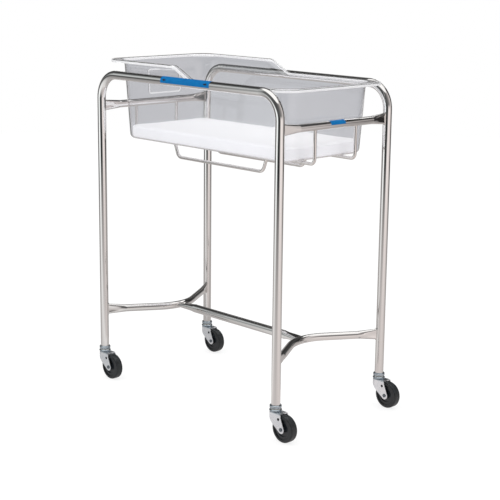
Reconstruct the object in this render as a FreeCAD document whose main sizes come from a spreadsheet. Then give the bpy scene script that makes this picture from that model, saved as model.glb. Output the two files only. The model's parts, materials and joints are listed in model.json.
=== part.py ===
"""Hospital bassinet: a clear tub with a raised head end, a thin pad in it, and an open stand of bent tube.

The stand is two U-shaped side frames joined by two crossbars high up and two bows low down, with a stretcher
between the bows. Two bent rods hang from the crossbars and carry the tub. Each leg ends in a swivel caster.
The head end is towards -X. The origin lies on the floor under the middle of the whole object.
Lengths are millimetres, angles degrees.
"""
import FreeCAD, Part
import math
import os
import Sketcher

HAIR = 0.01  # two sizes closer than this are the same

Vector = FreeCAD.Vector
Rotation = FreeCAD.Rotation

DOC = FreeCAD.newDocument("hospital_bassinet")

# Driving sizes: (alias, value, meaning).
DRIVING = [
    # side frames
    ("leg_spacing_long", 750, "head legs to foot legs, axis to axis"),
    ("leg_spacing_wide", 426, "front legs to back legs, axis to axis"),
    ("tube_diameter", 25.4, "outside of the side frame tube"),
    ("tube_wall", 1.6, "wall of the side frame tube"),
    ("rail_rise", 94.5, "axis of the top rails above that of the crossbars"),
    ("frame_bend_radius", 70, "bend of the side frames, on the tube axis"),
    # crossbars and bows
    ("bar_diameter", 22.2, "outside of the crossbar and bow tube"),
    ("bar_wall", 1.5, "wall of the crossbar and bow tube"),
    ("bow_height", 214, "axis of the bows and stretcher above the floor"),
    ("bow_angle", 31.8, "angle of a bow's straight runs to the line between its legs"),
    ("bow_radius", 130, "bend in the middle of a bow, on the tube axis"),
    ("flare_length", 56, "length over which a tube end is pressed flat"),
    ("flare_height", 34, "height of a pressed tube end"),
    ("flare_thickness", 6, "thickness of a pressed tube end"),
    ("flare_neck_height", 27, "height half-way along a pressed end"),
    ("flare_neck_thickness", 14, "thickness half-way along a pressed end"),
    # stretcher
    ("stretcher_diameter", 25.4, "outside of the stretcher tube"),
    ("spread_length", 60, "length over which a stretcher end is pressed flat"),
    ("spread_width", 37, "width of a pressed stretcher end"),
    ("spread_thickness", 7, "thickness of a pressed stretcher end"),
    ("spread_neck_width", 28, "width half-way along a pressed stretcher end"),
    ("spread_neck_thickness", 17, "thickness half-way along a pressed stretcher end"),
    # cradle rods
    ("rod_diameter", 9.5, "round bar of the cradle"),
    ("rod_spacing", 161, "front rod to back rod, axis to axis"),
    ("rod_seat_height", 740, "axis of the runs that carry the tub, above the floor"),
    ("rod_hang", 101.5, "that axis below the crossbars"),
    ("rod_dip_depth", 44, "long run between them, below them"),
    ("rod_seat_inner", 195, "half the distance between the inner ends of the two seat runs"),
    ("rod_dip_reach", 179, "half the length of the low run"),
    ("rod_bend_radius", 14, "bends under the ends of the tub, on the axis"),
    ("rod_dip_radius", 20, "bends at the ends of the low run, on the axis"),
    # tub
    ("tub_seat_gap", 0.3, "tub underside above the rods"),
    ("tub_offset", 5, "the tub stands this much nearer the foot end"),
    ("tub_corner_radius", 36, "upright corners at the underside"),
    ("tub_floor_edge", 14, "rounding between floor and walls, outside"),
    ("tub_wall", 3, "sheet thickness of the tub"),
    ("tub_draft", 4.2, "slope of the walls"),
    ("tub_rim_height", 200, "rim above the underside, along the sides and foot"),
    ("tub_head_height", 235, "rim above the underside, round the head end"),
    ("rim_step_start", 72, "where the rim starts to drop, from the tub centre towards the head"),
    ("rim_step_run", 68, "lengthwise run of the drop in the rim"),
    ("rim_step_radius", 45, "bends at the top and foot of the drop"),
    ("lip_overhang", 7, "half the length of the rim beyond half that between the leg axes"),
    ("lip_side_gap", 1.8, "rim to the inner faces of the top rails"),
    ("lip_corner_radius", 50, "corners of the rim"),
    ("lip_end_reach", 46, "rim beyond the underside of the tub at each end"),
    ("lip_side_reach", 40.5, "rim beyond the underside of the tub at each side"),
    ("lip_skirt", 9, "depth of the turned-down edge of the rim"),
    ("lip_cove_radius", 16, "rounding between wall and rim"),
    ("lip_edge_radius", 2.5, "outer top edge of the rim"),
    # pad
    ("pad_thickness", 35, "mattress"),
    ("pad_side_gap", 2, "mattress to the tub walls at the floor"),
    ("pad_gap", 0.3, "mattress above the tub floor"),
    # labels
    ("label_thickness", 0.3, "printed film"),
    ("label_gap", 0.05, "glue line under the film"),
    ("rail_label_length", 203, "film on the front rail"),
    ("rail_label_offset", 12, "its middle, towards the foot"),
    ("rail_label_angle", 128, "angle that the film covers round the rail"),
    ("rail_label_dip_angle", 22, "angle by which it reaches below the middle of the rail"),
    ("bar_label_length", 57, "film on the foot crossbar"),
    ("bar_label_angle", 95, "angle that the film covers round the crossbar"),
    ("bar_label_dip_angle", -4, "angle by which it reaches below the middle of the crossbar"),
    # casters
    ("wheel_radius", 38.1, "tread of the wheel"),
    ("tyre_width", 23, "width of the tyre"),
    ("caster_trail", 36, "axle behind the swivel axis"),
    ("axle_radius", 4, "axle rivet"),
    ("running_gap", 0.08, "radial clearance of the axle and the swivel"),
    ("fit_gap", 0.05, "clearance between fixed parts of a caster"),
    ("rest_gap", 0.3, "clearance between turning faces"),
    ("tyre_bead_radius", 24.5, "where tyre and hub meet"),
    ("tyre_shoulder", 4.5, "rounding of the tread edges"),
    ("tyre_recess", 2.4, "depth of the recess in the tyre side"),
    ("tyre_recess_radius", 30, "outer edge of the recess in the tyre side"),
    ("hub_width", 26.2, "boss of the hub between the fork plates"),
    ("hub_boss_radius", 9.5, "boss of the hub"),
    ("hub_web_width", 13, "web of the hub"),
    ("hub_rim_width", 18.2, "rim of the hub"),
    ("hub_rim_radius", 21, "inside of the rim of the hub"),
    ("fork_gap", 27, "between the fork plates"),
    ("fork_plate", 2.5, "fork plate thickness"),
    ("crown_gap", 1.5, "underside of the fork crown above the top of the wheel"),
    ("fork_crown", 2.8, "thickness of the fork crown"),
    ("fork_nose", 17, "front of the fork hood, ahead of the swivel axis"),
    ("fork_tail", 31, "back edge of the crown, behind the swivel axis"),
    ("fork_tip_radius", 11, "round end of a fork plate"),
    ("fork_shoulder_radius", 3.5, "stamped rounding of the fork shoulders"),
    ("fork_hood_depth", 10.5, "lower edge of the hood at its nose, below the top of the crown"),
    ("fork_bend_x", 2.5, "bend in the slanting lower edge, behind the swivel axis"),
    ("fork_bend_rise", 10.9, "that bend above the axle"),
    ("fork_hole_radius", 4, "round hole in each fork plate"),
    ("fork_hole_x", 26, "that hole, behind the swivel axis"),
    ("fork_hole_rise", 26.9, "that hole above the axle"),
    ("rivet_radius", 5.2, "heads of the axle rivet"),
    ("rivet_height", 1.6, "heads of the axle rivet"),
    ("race_radius", 17.6, "lower raceway on the crown"),
    ("race_height", 6, "lower raceway"),
    ("race_chamfer", 2, "outer edge of the lower raceway"),
    ("washer_radius", 14, "swivel washer"),
    ("washer_thickness", 1.4, "swivel washer"),
    ("collar_radius", 16.6, "dust collar under the leg"),
    ("collar_neck_radius", 14.6, "underside of the dust collar"),
    ("collar_height", 9.6, "dust collar"),
    ("collar_chamfer", 1.8, "edges of the dust collar"),
    ("collar_cup", 3.2, "how deep the leg sits in the collar"),
    ("stem_radius", 5, "swivel stem"),
    ("stem_head_radius", 8, "riveted foot of the stem"),
    ("stem_head_height", 3, "riveted foot of the stem"),
    ("plug_length", 38, "steel plug in the leg"),
    ("plug_setback", 1, "plug above the end of the leg"),
    ("stem_spare", 6, "plug beyond the top of the stem"),
]

# Sizes that follow from the driving ones.
DERIVED = [
    ("half_long", "=leg_spacing_long / 2"),
    ("half_wide", "=leg_spacing_wide / 2"),
    ("tube_radius", "=tube_diameter / 2"),
    ("tube_bore", "=tube_radius - tube_wall"),
    ("bar_radius", "=bar_diameter / 2"),
    ("bar_bore", "=bar_radius - bar_wall"),
    ("stretcher_radius", "=stretcher_diameter / 2"),
    ("stretcher_bore", "=stretcher_radius - bar_wall"),
    ("rod_radius", "=rod_diameter / 2"),
    ("half_rod_spacing", "=rod_spacing / 2"),
    ("flare_start", "=tube_radius + flare_length"),
    ("flare_middle", "=tube_radius + flare_length / 2"),
    ("bar_straight", "=half_wide - flare_start"),
    ("bar_neck", "=half_wide - flare_middle"),
    ("bow_corner_depth", "=half_wide * tan(bow_angle)"),
    ("bow_depth", "=bow_corner_depth - bow_radius * (1 / cos(bow_angle) - 1)"),
    ("bow_start_in", "=flare_start * sin(bow_angle)"),
    ("bow_start_out", "=half_wide - flare_start * cos(bow_angle)"),
    ("bow_neck_in", "=flare_middle * sin(bow_angle)"),
    ("bow_neck_out", "=half_wide - flare_middle * cos(bow_angle)"),
    ("stretcher_reach", "=half_long - bow_depth"),
    ("stretcher_straight", "=stretcher_reach - bar_radius - spread_length"),
    ("stretcher_neck", "=stretcher_reach - bar_radius - spread_length / 2"),
    ("bow_arc_centre", "=stretcher_reach + bow_radius"),
    ("crossbar_height", "=rod_seat_height + rod_hang"),
    ("rail_height", "=crossbar_height + rail_rise"),
    ("rod_dip_height", "=rod_seat_height - rod_dip_depth"),
    ("tub_base", "=rod_seat_height + rod_radius + tub_seat_gap"),
    ("lip_half_length", "=half_long + lip_overhang"),
    ("lip_half_width", "=half_wide - tube_radius - lip_side_gap"),
    ("tub_half_length", "=lip_half_length - lip_end_reach"),
    ("tub_half_width", "=lip_half_width - lip_side_reach"),
    ("cavity_half_length", "=tub_half_length + tub_wall * (tan(tub_draft) - 1 / cos(tub_draft))"),
    ("cavity_half_width", "=tub_half_width + tub_wall * (tan(tub_draft) - 1 / cos(tub_draft))"),
    ("cavity_corner_radius", "=tub_corner_radius - tub_half_width + cavity_half_width"),
    ("cavity_floor_edge", "=tub_floor_edge - tub_wall"),
    ("rim_step_end", "=rim_step_start - rim_step_run"),
    ("rim_under", "=tub_rim_height - tub_wall"),
    ("head_under", "=tub_head_height - tub_wall"),
    ("rim_skirt_foot", "=tub_rim_height - lip_skirt"),
    ("head_skirt_foot", "=tub_head_height - lip_skirt"),
    ("tub_clear_height", "=tub_head_height + tub_wall"),
    ("cavity_height", "=tub_clear_height - tub_wall"),
    ("lip_width", "=2 * lip_half_width"),
    ("lip_brow_radius", "=lip_cove_radius + tub_wall"),
    ("lip_inner_half_length", "=lip_half_length - tub_wall"),
    ("lip_inner_half_width", "=lip_half_width - tub_wall"),
    ("lip_inner_corner_radius", "=lip_corner_radius - tub_wall"),
    ("band_half_length", "=lip_half_length + tub_wall"),
    ("pad_base", "=tub_base + tub_wall + pad_gap"),
    ("pad_half_length", "=cavity_half_length - pad_side_gap"),
    ("pad_half_width", "=cavity_half_width - pad_side_gap"),
    ("pad_corner_radius", "=cavity_corner_radius - pad_side_gap"),
    ("pad_edge_radius", "=cavity_floor_edge - pad_side_gap"),
    ("crown_underside", "=2 * wheel_radius + crown_gap"),
    ("fork_top", "=crown_underside + fork_crown"),
    ("fork_hood_height", "=fork_top - fork_hood_depth"),
    ("fork_bend_height", "=wheel_radius + fork_bend_rise"),
    ("fork_hole_height", "=wheel_radius + fork_hole_rise"),
    ("fork_half_gap", "=fork_gap / 2"),
    ("fork_half_width", "=fork_half_gap + fork_plate"),
    ("fork_nose_centre", "=fork_nose - fork_half_width"),
    ("fork_reach", "=caster_trail + 2 * fork_tip_radius"),
    ("fork_room_reach", "=caster_trail + 3 * fork_tip_radius"),
    ("axle_seat", "=axle_radius + fit_gap"),
    ("axle_half_length", "=fork_half_width + rivet_height"),
    ("race_top", "=fork_top + race_height"),
    ("race_belt_low", "=fork_top + race_chamfer"),
    ("race_belt_high", "=race_top - race_chamfer"),
    ("race_lip_radius", "=race_radius - race_chamfer"),
    ("swivel_bore", "=stem_radius + running_gap"),
    ("stem_seat", "=stem_radius + fit_gap"),
    ("washer_base", "=race_top + fit_gap"),
    ("washer_top", "=washer_base + washer_thickness"),
    ("collar_base", "=washer_top + rest_gap"),
    ("collar_top", "=collar_base + collar_height"),
    ("collar_belt_low", "=collar_base + collar_radius - collar_neck_radius"),
    ("collar_belt_high", "=collar_top - collar_chamfer"),
    ("collar_rim_radius", "=collar_radius - collar_chamfer"),
    ("leg_bottom", "=collar_top - collar_cup"),
    ("leg_socket", "=tube_radius + fit_gap"),
    ("plug_radius", "=tube_bore - fit_gap"),
    ("plug_bottom", "=leg_bottom + plug_setback"),
    ("plug_top", "=plug_bottom + plug_length"),
    ("stem_top", "=plug_top - stem_spare"),
    ("stem_head_top", "=crown_underside - rest_gap"),
    ("stem_head_bottom", "=stem_head_top - stem_head_height"),
    ("hub_bore", "=axle_radius + running_gap"),
    ("hub_half_width", "=hub_width / 2"),
    ("hub_half_web", "=hub_web_width / 2"),
    ("hub_half_rim", "=hub_rim_width / 2"),
    ("tyre_half_width", "=tyre_width / 2"),
    ("tyre_half_recess", "=tyre_half_width - tyre_recess"),
    ("tyre_bead_inner", "=tyre_bead_radius + fit_gap"),
    ("rail_label_end", "=rail_label_offset - rail_label_length / 2"),
    ("bar_label_end", "=-bar_label_length / 2"),
    ("head_axle", "=caster_trail - half_long"),
    ("foot_axle", "=caster_trail + half_long"),
    ("origin_shift", "=(caster_trail + wheel_radius - tube_radius) / 2"),
]

SHEET = DOC.addObject("Spreadsheet::Sheet", "Sizes")
for row, (alias, value, meaning) in enumerate(DRIVING, start=1):
    SHEET.set(f"A{row}", meaning)
    SHEET.set(f"B{row}", str(value))
    SHEET.setAlias(f"B{row}", alias)
for row, (alias, formula) in enumerate(DERIVED, start=len(DRIVING) + 1):
    SHEET.set(f"B{row}", formula)
    SHEET.setAlias(f"B{row}", alias)
DOC.recompute()


def size(cell):
    """The value of a cell named by its alias; "-alias" is its negative and "0" is nothing."""
    if cell == "0":
        return 0.0
    if cell.startswith("-"):
        return -size(cell[1:])
    return float(getattr(SHEET, cell))


def term(cell):
    """The same cell as it is written in an expression."""
    if cell == "0":
        return "0"
    if cell.startswith("-"):
        return f"-Sizes.{cell[1:]}"
    return f"Sizes.{cell}"


def bind(thing, path, cell):
    """Tie one property of an object to a cell."""
    thing.setExpression(path, term(cell))


def place(thing, x="0", y="0", z="0"):
    """Stand a finished sub-part at a point of the stand, whose middle lies origin_shift from the origin."""
    thing.setExpression(".Placement.Base.x", f"{term(x)} - Sizes.origin_shift")
    bind(thing, ".Placement.Base.y", y)
    bind(thing, ".Placement.Base.z", z)


def new_body(label):
    body = DOC.addObject("PartDesign::Body", label)
    body.Label = label
    return body


def origin_plane(body, role):
    return next(item for item in body.Origin.OriginFeatures if item.Role == role)


class Drawing:
    """A sketch on one of its body's origin planes, with its sizes tied to cells.

    On XY_Plane the drawing's axes are X and Y, on XZ_Plane X and Z, on YZ_Plane Y and Z.
    The plane may be moved by three cells along its own axes, and turned about its own upright axis.
    """

    def __init__(self, body, name, role, offset=("0", "0", "0"), turn=None, turn_axis=1):
        self.sketch = body.newObject("Sketcher::SketchObject", name)
        self.sketch.AttachmentSupport = (origin_plane(body, role), "")
        self.sketch.MapMode = "FlatFace"
        base = Vector(*[size(cell) for cell in offset])
        spin = Rotation(Vector(0, turn_axis, 0), size(turn)) if turn else Rotation()
        self.sketch.AttachmentOffset = FreeCAD.Placement(base, spin)
        for axis, cell in zip("xyz", offset):
            if cell != "0":
                bind(self.sketch, f".AttachmentOffset.Base.{axis}", cell)
        if turn:
            bind(self.sketch, ".AttachmentOffset.Rotation.Angle", turn)

    def add(self, shape, construction=False):
        return self.sketch.addGeometry(shape, construction)

    def rule(self, *words):
        return self.sketch.addConstraint(Sketcher.Constraint(*words))

    def measure(self, cell, *words):
        """A dimension whose value is that of a cell."""
        index = self.rule(*words, abs(size(cell)))
        alias = cell.lstrip("-")
        name = f"{alias}_{index}"
        self.sketch.renameConstraint(index, name)
        bind(self.sketch, f"Constraints.{name}", alias)

    def fix(self, shape, end, x=None, y=None):
        """Hold one point of a shape at a place given by cells."""
        for kind, cell, axis in (("DistanceX", x, -2), ("DistanceY", y, -1)):
            if cell is None:
                continue
            if cell == "0":
                self.rule("PointOnObject", shape, end, axis)
            elif cell.startswith("-"):
                self.measure(cell, kind, shape, end, -1, 1)
            else:
                self.measure(cell, kind, -1, 1, shape, end)

    def ring(self, *radii, x="0", y="0"):
        """Circles about one centre."""
        centre = Vector(size(x), size(y), 0)
        for radius in radii:
            shape = self.add(Part.Circle(centre, Vector(0, 0, 1), size(radius)))
            self.measure(radius, "Radius", shape)
            if x == y == "0":
                self.rule("Coincident", shape, 3, -1, 1)
            else:
                self.fix(shape, 3, x, y)
        return self

    def polygon(self, corners):
        """A closed outline of straight lines through corners given as pairs of cells."""
        points = [Vector(size(x), size(y), 0) for x, y in corners]
        lines = [self.add(Part.LineSegment(a, b)) for a, b in zip(points, points[1:] + points[:1])]
        for this, following in zip(lines, lines[1:] + lines[:1]):
            self.rule("Coincident", this, 2, following, 1)
        for line, (x, y) in zip(lines, corners):
            self.fix(line, 1, x, y)
        return self

    def arc(self, start, middle, end):
        """An arc, and which of its ends is the start."""
        shape = self.add(Part.Arc(start, middle, end))
        first = self.sketch.getPoint(shape, 1)
        forward = first.distanceToPoint(start) < first.distanceToPoint(end)
        return (shape, 1, 2) if forward else (shape, 2, 1)

    def bent_line(self, corners, *bends):
        """Straight runs through corners, joined by tangent bends: one radius for all of them, or one for each.

        Returns the first and last run.
        """
        points = [Vector(size(x), size(y), 0) for x, y in corners]
        bends = bends if len(bends) > 1 else bends * (len(corners) - 2)
        starts = [points[0]]
        ends = []
        arcs = []
        for before, corner, after, bend in zip(points, points[1:], points[2:], bends):
            radius = size(bend)
            back = (before - corner).normalize()
            ahead = (after - corner).normalize()
            half_turn = (math.pi - back.getAngle(ahead)) / 2
            reach = radius * math.tan(half_turn)
            centre = corner + (back + ahead).normalize() * (radius / math.cos(half_turn))
            middle = centre + (corner - centre).normalize() * radius
            arcs.append((corner + back * reach, middle, corner + ahead * reach))
            ends.append(corner + back * reach)
            starts.append(corner + ahead * reach)
        ends.append(points[-1])
        lines = [self.add(Part.LineSegment(a, b)) for a, b in zip(starts, ends)]
        self.fix(lines[0], 1, *corners[0])
        self.fix(lines[-1], 2, *corners[-1])
        for index, (start, middle, end) in enumerate(arcs):
            shape, first, last = self.arc(start, middle, end)
            before, after = lines[index], lines[index + 1]
            self.rule("Tangent", before, 2, shape, first)
            self.rule("Tangent", shape, last, after, 1)
            self.measure(bends[index], "Radius", shape)
            corner = self.add(Part.Point(points[index + 1]), True)
            self.fix(corner, 1, *corners[index + 1])
            self.rule("PointOnObject", corner, 1, before)
            self.rule("PointOnObject", corner, 1, after)
        return lines[0], lines[-1]

    def rounded_rectangle(self, half_x, half_y, corner):
        """A rectangle about the origin with round corners."""
        a, b, r = size(half_x), size(half_y), size(corner)
        sides = [
            self.add(Part.LineSegment(Vector(-a + r, -b, 0), Vector(a - r, -b, 0))),
            self.add(Part.LineSegment(Vector(a, -b + r, 0), Vector(a, b - r, 0))),
            self.add(Part.LineSegment(Vector(a - r, b, 0), Vector(-a + r, b, 0))),
            self.add(Part.LineSegment(Vector(-a, b - r, 0), Vector(-a, -b + r, 0))),
        ]
        for index, (x, y) in enumerate(((1, -1), (1, 1), (-1, 1), (-1, -1))):
            centre = Vector(x * (a - r), y * (b - r), 0)
            outward = Vector(x, y, 0).normalize() * r
            side, following = sides[index], sides[(index + 1) % 4]
            start = self.sketch.getPoint(side, 2)
            end = self.sketch.getPoint(following, 1)
            shape, first, last = self.arc(start, centre + outward, end)
            self.rule("Tangent", side, 2, shape, first)
            self.rule("Tangent", shape, last, following, 1)
            self.measure(corner, "Radius", shape)
        self.rule("Horizontal", sides[0])
        self.rule("Vertical", sides[1])
        self.rule("Horizontal", sides[2])
        self.rule("Vertical", sides[3])
        self.fix(sides[0], 1, y=f"-{half_y}")
        self.fix(sides[1], 1, x=half_x)
        self.fix(sides[2], 1, y=half_y)
        self.fix(sides[3], 1, x=f"-{half_x}")
        return self

    def quartered_circle(self, radius):
        """A circle in four arcs, so that it lofts edge by edge to a pressed section."""
        r = size(radius)
        step = r * math.sqrt(0.5)
        signs = ((1, 1), (-1, 1), (-1, -1), (1, -1))
        corners = [Vector(x * step, y * step, 0) for x, y in signs]
        tops = [Vector(0, r, 0), Vector(-r, 0, 0), Vector(0, -r, 0), Vector(r, 0, 0)]
        arcs = [self.arc(corners[i], tops[i], corners[(i + 1) % 4]) for i in range(4)]
        self.measure(radius, "Radius", arcs[0][0])
        for shape, _, _ in arcs[:3]:
            self.rule("Coincident", shape, 3, -1, 1)
        for (shape, _, last), (following, first, _) in zip(arcs[:2], arcs[1:3]):
            self.rule("Coincident", shape, last, following, first)
        self.rule("Tangent", arcs[2][0], arcs[2][2], arcs[3][0], arcs[3][1])
        self.rule("Coincident", arcs[3][0], arcs[3][2], arcs[0][0], arcs[0][1])
        return self

    def pressed(self, across, along, inset=0.0, upright=True):
        """A tube section pressed to a slot: `across` thick and `along` high, or that wide if not upright.

        A positive inset draws the bore, that much inside the outline.
        """
        radius = size(across) / 2 - inset
        centre = size(along) / 2 - size(across) / 2
        turn = Rotation() if upright else Rotation(Vector(0, 0, 1), 90)

        def at(x, y):
            return turn.multVec(Vector(x, y, 0))

        left = self.add(Part.LineSegment(at(-radius, centre), at(-radius, -centre)))
        right = self.add(Part.LineSegment(at(radius, -centre), at(radius, centre)))
        tip = centre + radius
        foot, foot_first, foot_last = self.arc(at(-radius, -centre), at(0, -tip), at(radius, -centre))
        head, head_first, head_last = self.arc(at(radius, centre), at(0, tip), at(-radius, centre))
        self.rule("Tangent", left, 2, foot, foot_first)
        self.rule("Tangent", foot, foot_last, right, 1)
        self.rule("Tangent", right, 2, head, head_first)
        self.rule("Tangent", head, head_last, left, 1)
        middle_line = -2 if upright else -1
        kind = "DistanceY" if upright else "DistanceX"
        for shape, sign in ((foot, -1), (head, 1)):
            self.rule("PointOnObject", shape, 3, middle_line)
            ends = (shape, 3, -1, 1) if (sign < 0) == upright else (-1, 1, shape, 3)
            index = self.rule(kind, *ends, centre)
            self.sketch.renameConstraint(index, f"centre_{index}")
            self.sketch.setExpression(f"Constraints.centre_{index}", f"(Sizes.{along} - Sizes.{across}) / 2")
        wall = "Sizes.bar_wall" if inset else "0"
        index = self.rule("Radius", foot, radius)
        self.sketch.renameConstraint(index, "end_radius")
        self.sketch.setExpression("Constraints.end_radius", f"Sizes.{across} / 2 - {wall}")
        self.rule("Equal", foot, head)
        return self


def pad(body, drawing, length, symmetric=False, taper=None, reverse=False):
    feature = body.newObject("PartDesign::Pad", "pad")
    feature.Profile = drawing.sketch
    bind(feature, "Length", length)
    if symmetric:
        feature.SideType = "Symmetric"
    if taper:
        bind(feature, "TaperAngle", taper)
    feature.Reversed = reverse
    return feature


def cut_through(body, drawing):
    """Cut the drawing's outline out of the whole body, both ways."""
    feature = body.newObject("PartDesign::Pocket", "cut")
    feature.Profile = drawing.sketch
    feature.Type = "ThroughAll"
    feature.SideType = "Symmetric"
    return feature


def revolve(body, drawing, axis):
    feature = body.newObject("PartDesign::Revolution", "turned")
    feature.Profile = drawing.sketch
    feature.ReferenceAxis = (drawing.sketch, [axis])
    feature.Angle = 360
    return feature


def pipe(body, profile, path):
    feature = body.newObject("PartDesign::AdditivePipe", "tube")
    feature.Profile = profile.sketch
    feature.Spine = path.sketch
    return feature


def loft(body, sections, kind="Additive"):
    feature = body.newObject(f"PartDesign::{kind}Loft", "pressed_end")
    feature.Profile = sections[0].sketch
    feature.Sections = [drawing.sketch for drawing in sections[1:]]
    return feature


def fillet(body, feature, radius, chosen):
    """Round the edges of a feature for which chosen(edge) is true."""
    DOC.recompute()
    names = [f"Edge{n}" for n, edge in enumerate(feature.Shape.Edges, start=1) if chosen(edge)]
    rounding = body.newObject("PartDesign::Fillet", "rounding")
    rounding.Base = (feature, names)
    bind(rounding, "Radius", radius)
    return rounding


def level(edge, height):
    """True for an edge that lies flat at one height of its body."""
    box = edge.BoundBox
    return abs(box.ZMin - height) < HAIR and abs(box.ZMax - height) < HAIR


# The sub-parts, in the order in which they are made.
SUB_PARTS = []


def finish(body, **where):
    place(body, **where)
    SUB_PARTS.append(body)


def make_side_frame(label, y):
    """One tube: up a leg, round a bend, along the top rail, round a bend and down the other leg."""
    body = new_body(label)
    path = Drawing(body, "route", "XZ_Plane")
    path.bent_line(
        [
            ("-half_long", "leg_bottom"),
            ("-half_long", "rail_height"),
            ("half_long", "rail_height"),
            ("half_long", "leg_bottom"),
        ],
        "frame_bend_radius",
    )
    section = Drawing(body, "section", "XY_Plane", ("-half_long", "0", "leg_bottom"))
    section.ring("tube_radius", "tube_bore")
    pipe(body, section, path)
    finish(body, y=y)


def pressed_end(body, frames, across, neck_across, along, neck_along, radius, bore, upright=True):
    """One pressed tube end: an outer loft from the round tube to the slot, and the same for its bore.

    frames are the three drawing frames, from the round tube to the pressed tip: (offset, turn, turn_axis).
    """
    role = "XZ_Plane" if upright else "YZ_Plane"
    for kind, round_radius, inset in (("Additive", radius, 0.0), ("Subtractive", bore, size("bar_wall"))):
        drawings = [
            Drawing(body, f"{kind.lower()}_section", role, offset, turn, turn_axis)
            for offset, turn, turn_axis in frames
        ]
        drawings[0].quartered_circle(round_radius)
        drawings[1].pressed(neck_across, neck_along, inset, upright)
        drawings[2].pressed(across, along, inset, upright)
        loft(body, drawings, kind)


FLARE = (
    "flare_thickness",
    "flare_neck_thickness",
    "flare_height",
    "flare_neck_height",
    "bar_radius",
    "bar_bore",
)
SPREAD = (
    "spread_thickness",
    "spread_neck_thickness",
    "spread_width",
    "spread_neck_width",
    "stretcher_radius",
    "stretcher_bore",
)


def cope_to_legs(body):
    """Shape both ends of a bar to the round of the legs they are welded to."""
    for y in ("half_wide", "-half_wide"):
        leg = Drawing(body, "leg_outline", "XY_Plane")
        leg.ring("tube_radius", x="0", y=y)
        cut_through(body, leg)


def make_crossbar(label, x):
    """A straight tube from leg to leg, each end pressed flat and upright."""
    body = new_body(label)
    path = Drawing(body, "route", "YZ_Plane")
    path.bent_line([("-bar_straight", "0"), ("bar_straight", "0")], "bar_radius")
    section = Drawing(body, "section", "XZ_Plane", ("0", "0", "bar_straight"))
    section.ring("bar_radius", "bar_bore")
    pipe(body, section, path)
    for sign in ("", "-"):
        cells = ("bar_straight", "bar_neck", "half_wide")
        frames = [(("0", "0", f"{sign}{cell}"), None, 1) for cell in cells]
        pressed_end(body, frames, *FLARE)
    cope_to_legs(body)
    finish(body, x=x, z="crossbar_height")
    return body


def make_bow(label, x, turned):
    """A tube from leg to leg that bows in towards the middle of the stand, with ends like a crossbar's."""
    body = new_body(label)
    path = Drawing(body, "route", "XY_Plane")
    path.bent_line(
        [("-bow_start_in", "-bow_start_out"), ("-bow_corner_depth", "0"), ("-bow_start_in", "bow_start_out")],
        "bow_radius",
    )
    section = Drawing(body, "section", "XZ_Plane", ("-bow_start_in", "0", "bow_start_out"), "bow_angle")
    section.ring("bar_radius", "bar_bore")
    pipe(body, section, path)
    for sign, turn_axis in (("", 1), ("-", -1)):
        frames = [
            (("-bow_start_in", "0", f"{sign}bow_start_out"), "bow_angle", turn_axis),
            (("-bow_neck_in", "0", f"{sign}bow_neck_out"), "bow_angle", turn_axis),
            (("0", "0", f"{sign}half_wide"), "bow_angle", turn_axis),
        ]
        pressed_end(body, frames, *FLARE)
    cope_to_legs(body)
    if turned:
        body.Placement = FreeCAD.Placement(Vector(), Rotation(Vector(0, 0, 1), 180))
    finish(body, x=x, z="bow_height")


def make_stretcher():
    """A straight tube between the bows, its ends pressed flat and level and shaped to the bows' round."""
    body = new_body("stretcher")
    path = Drawing(body, "route", "XZ_Plane")
    path.bent_line([("-stretcher_straight", "0"), ("stretcher_straight", "0")], "stretcher_radius")
    section = Drawing(body, "section", "YZ_Plane", ("0", "0", "-stretcher_straight"))
    section.ring("stretcher_radius", "stretcher_bore")
    pipe(body, section, path)
    for sign in ("", "-"):
        cells = ("stretcher_straight", "stretcher_neck", "stretcher_reach")
        frames = [(("0", "0", f"{sign}{cell}"), None, 1) for cell in cells]
        pressed_end(body, frames, *SPREAD, upright=False)
    for sign in ("", "-"):
        bow = body.newObject("PartDesign::SubtractiveTorus", "bow_outline")
        bow.AttachmentSupport = (origin_plane(body, "XY_Plane"), "")
        bow.MapMode = "FlatFace"
        bind(bow, ".AttachmentOffset.Base.x", f"{sign}bow_arc_centre")
        bind(bow, "Radius1", "bow_radius")
        bind(bow, "Radius2", "bar_radius")
    finish(body, z="bow_height")


def make_cradle_rod(label, y):
    """One round bar, hung from both crossbars: down, in under the tub, down to a low run, and back up."""
    body = new_body(label)
    path = Drawing(body, "route", "XZ_Plane")
    head = [
        ("-half_long", "crossbar_height"),
        ("-half_long", "rod_seat_height"),
        ("-rod_seat_inner", "rod_seat_height"),
        ("-rod_dip_reach", "rod_dip_height"),
    ]
    foot = [(x.lstrip("-"), z) for x, z in reversed(head)]
    bends = ("rod_bend_radius", "rod_dip_radius", "rod_dip_radius")
    path.bent_line(head + foot, *bends, *reversed(bends))
    section = Drawing(body, "section", "XY_Plane", ("-half_long", "0", "crossbar_height"))
    section.ring("rod_radius")
    pipe(body, section, path)
    for x in ("half_long", "-half_long"):
        crossbar = Drawing(body, "crossbar_outline", "XZ_Plane")
        crossbar.ring("bar_radius", x=x, y="crossbar_height")
        cut_through(body, crossbar)
    finish(body, y=y)


def boolean(kind, label, **links):
    """A Part boolean of finished shapes."""
    thing = DOC.addObject(f"Part::{kind}", label)
    for name, value in links.items():
        setattr(thing, name, value)
    return thing


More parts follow.
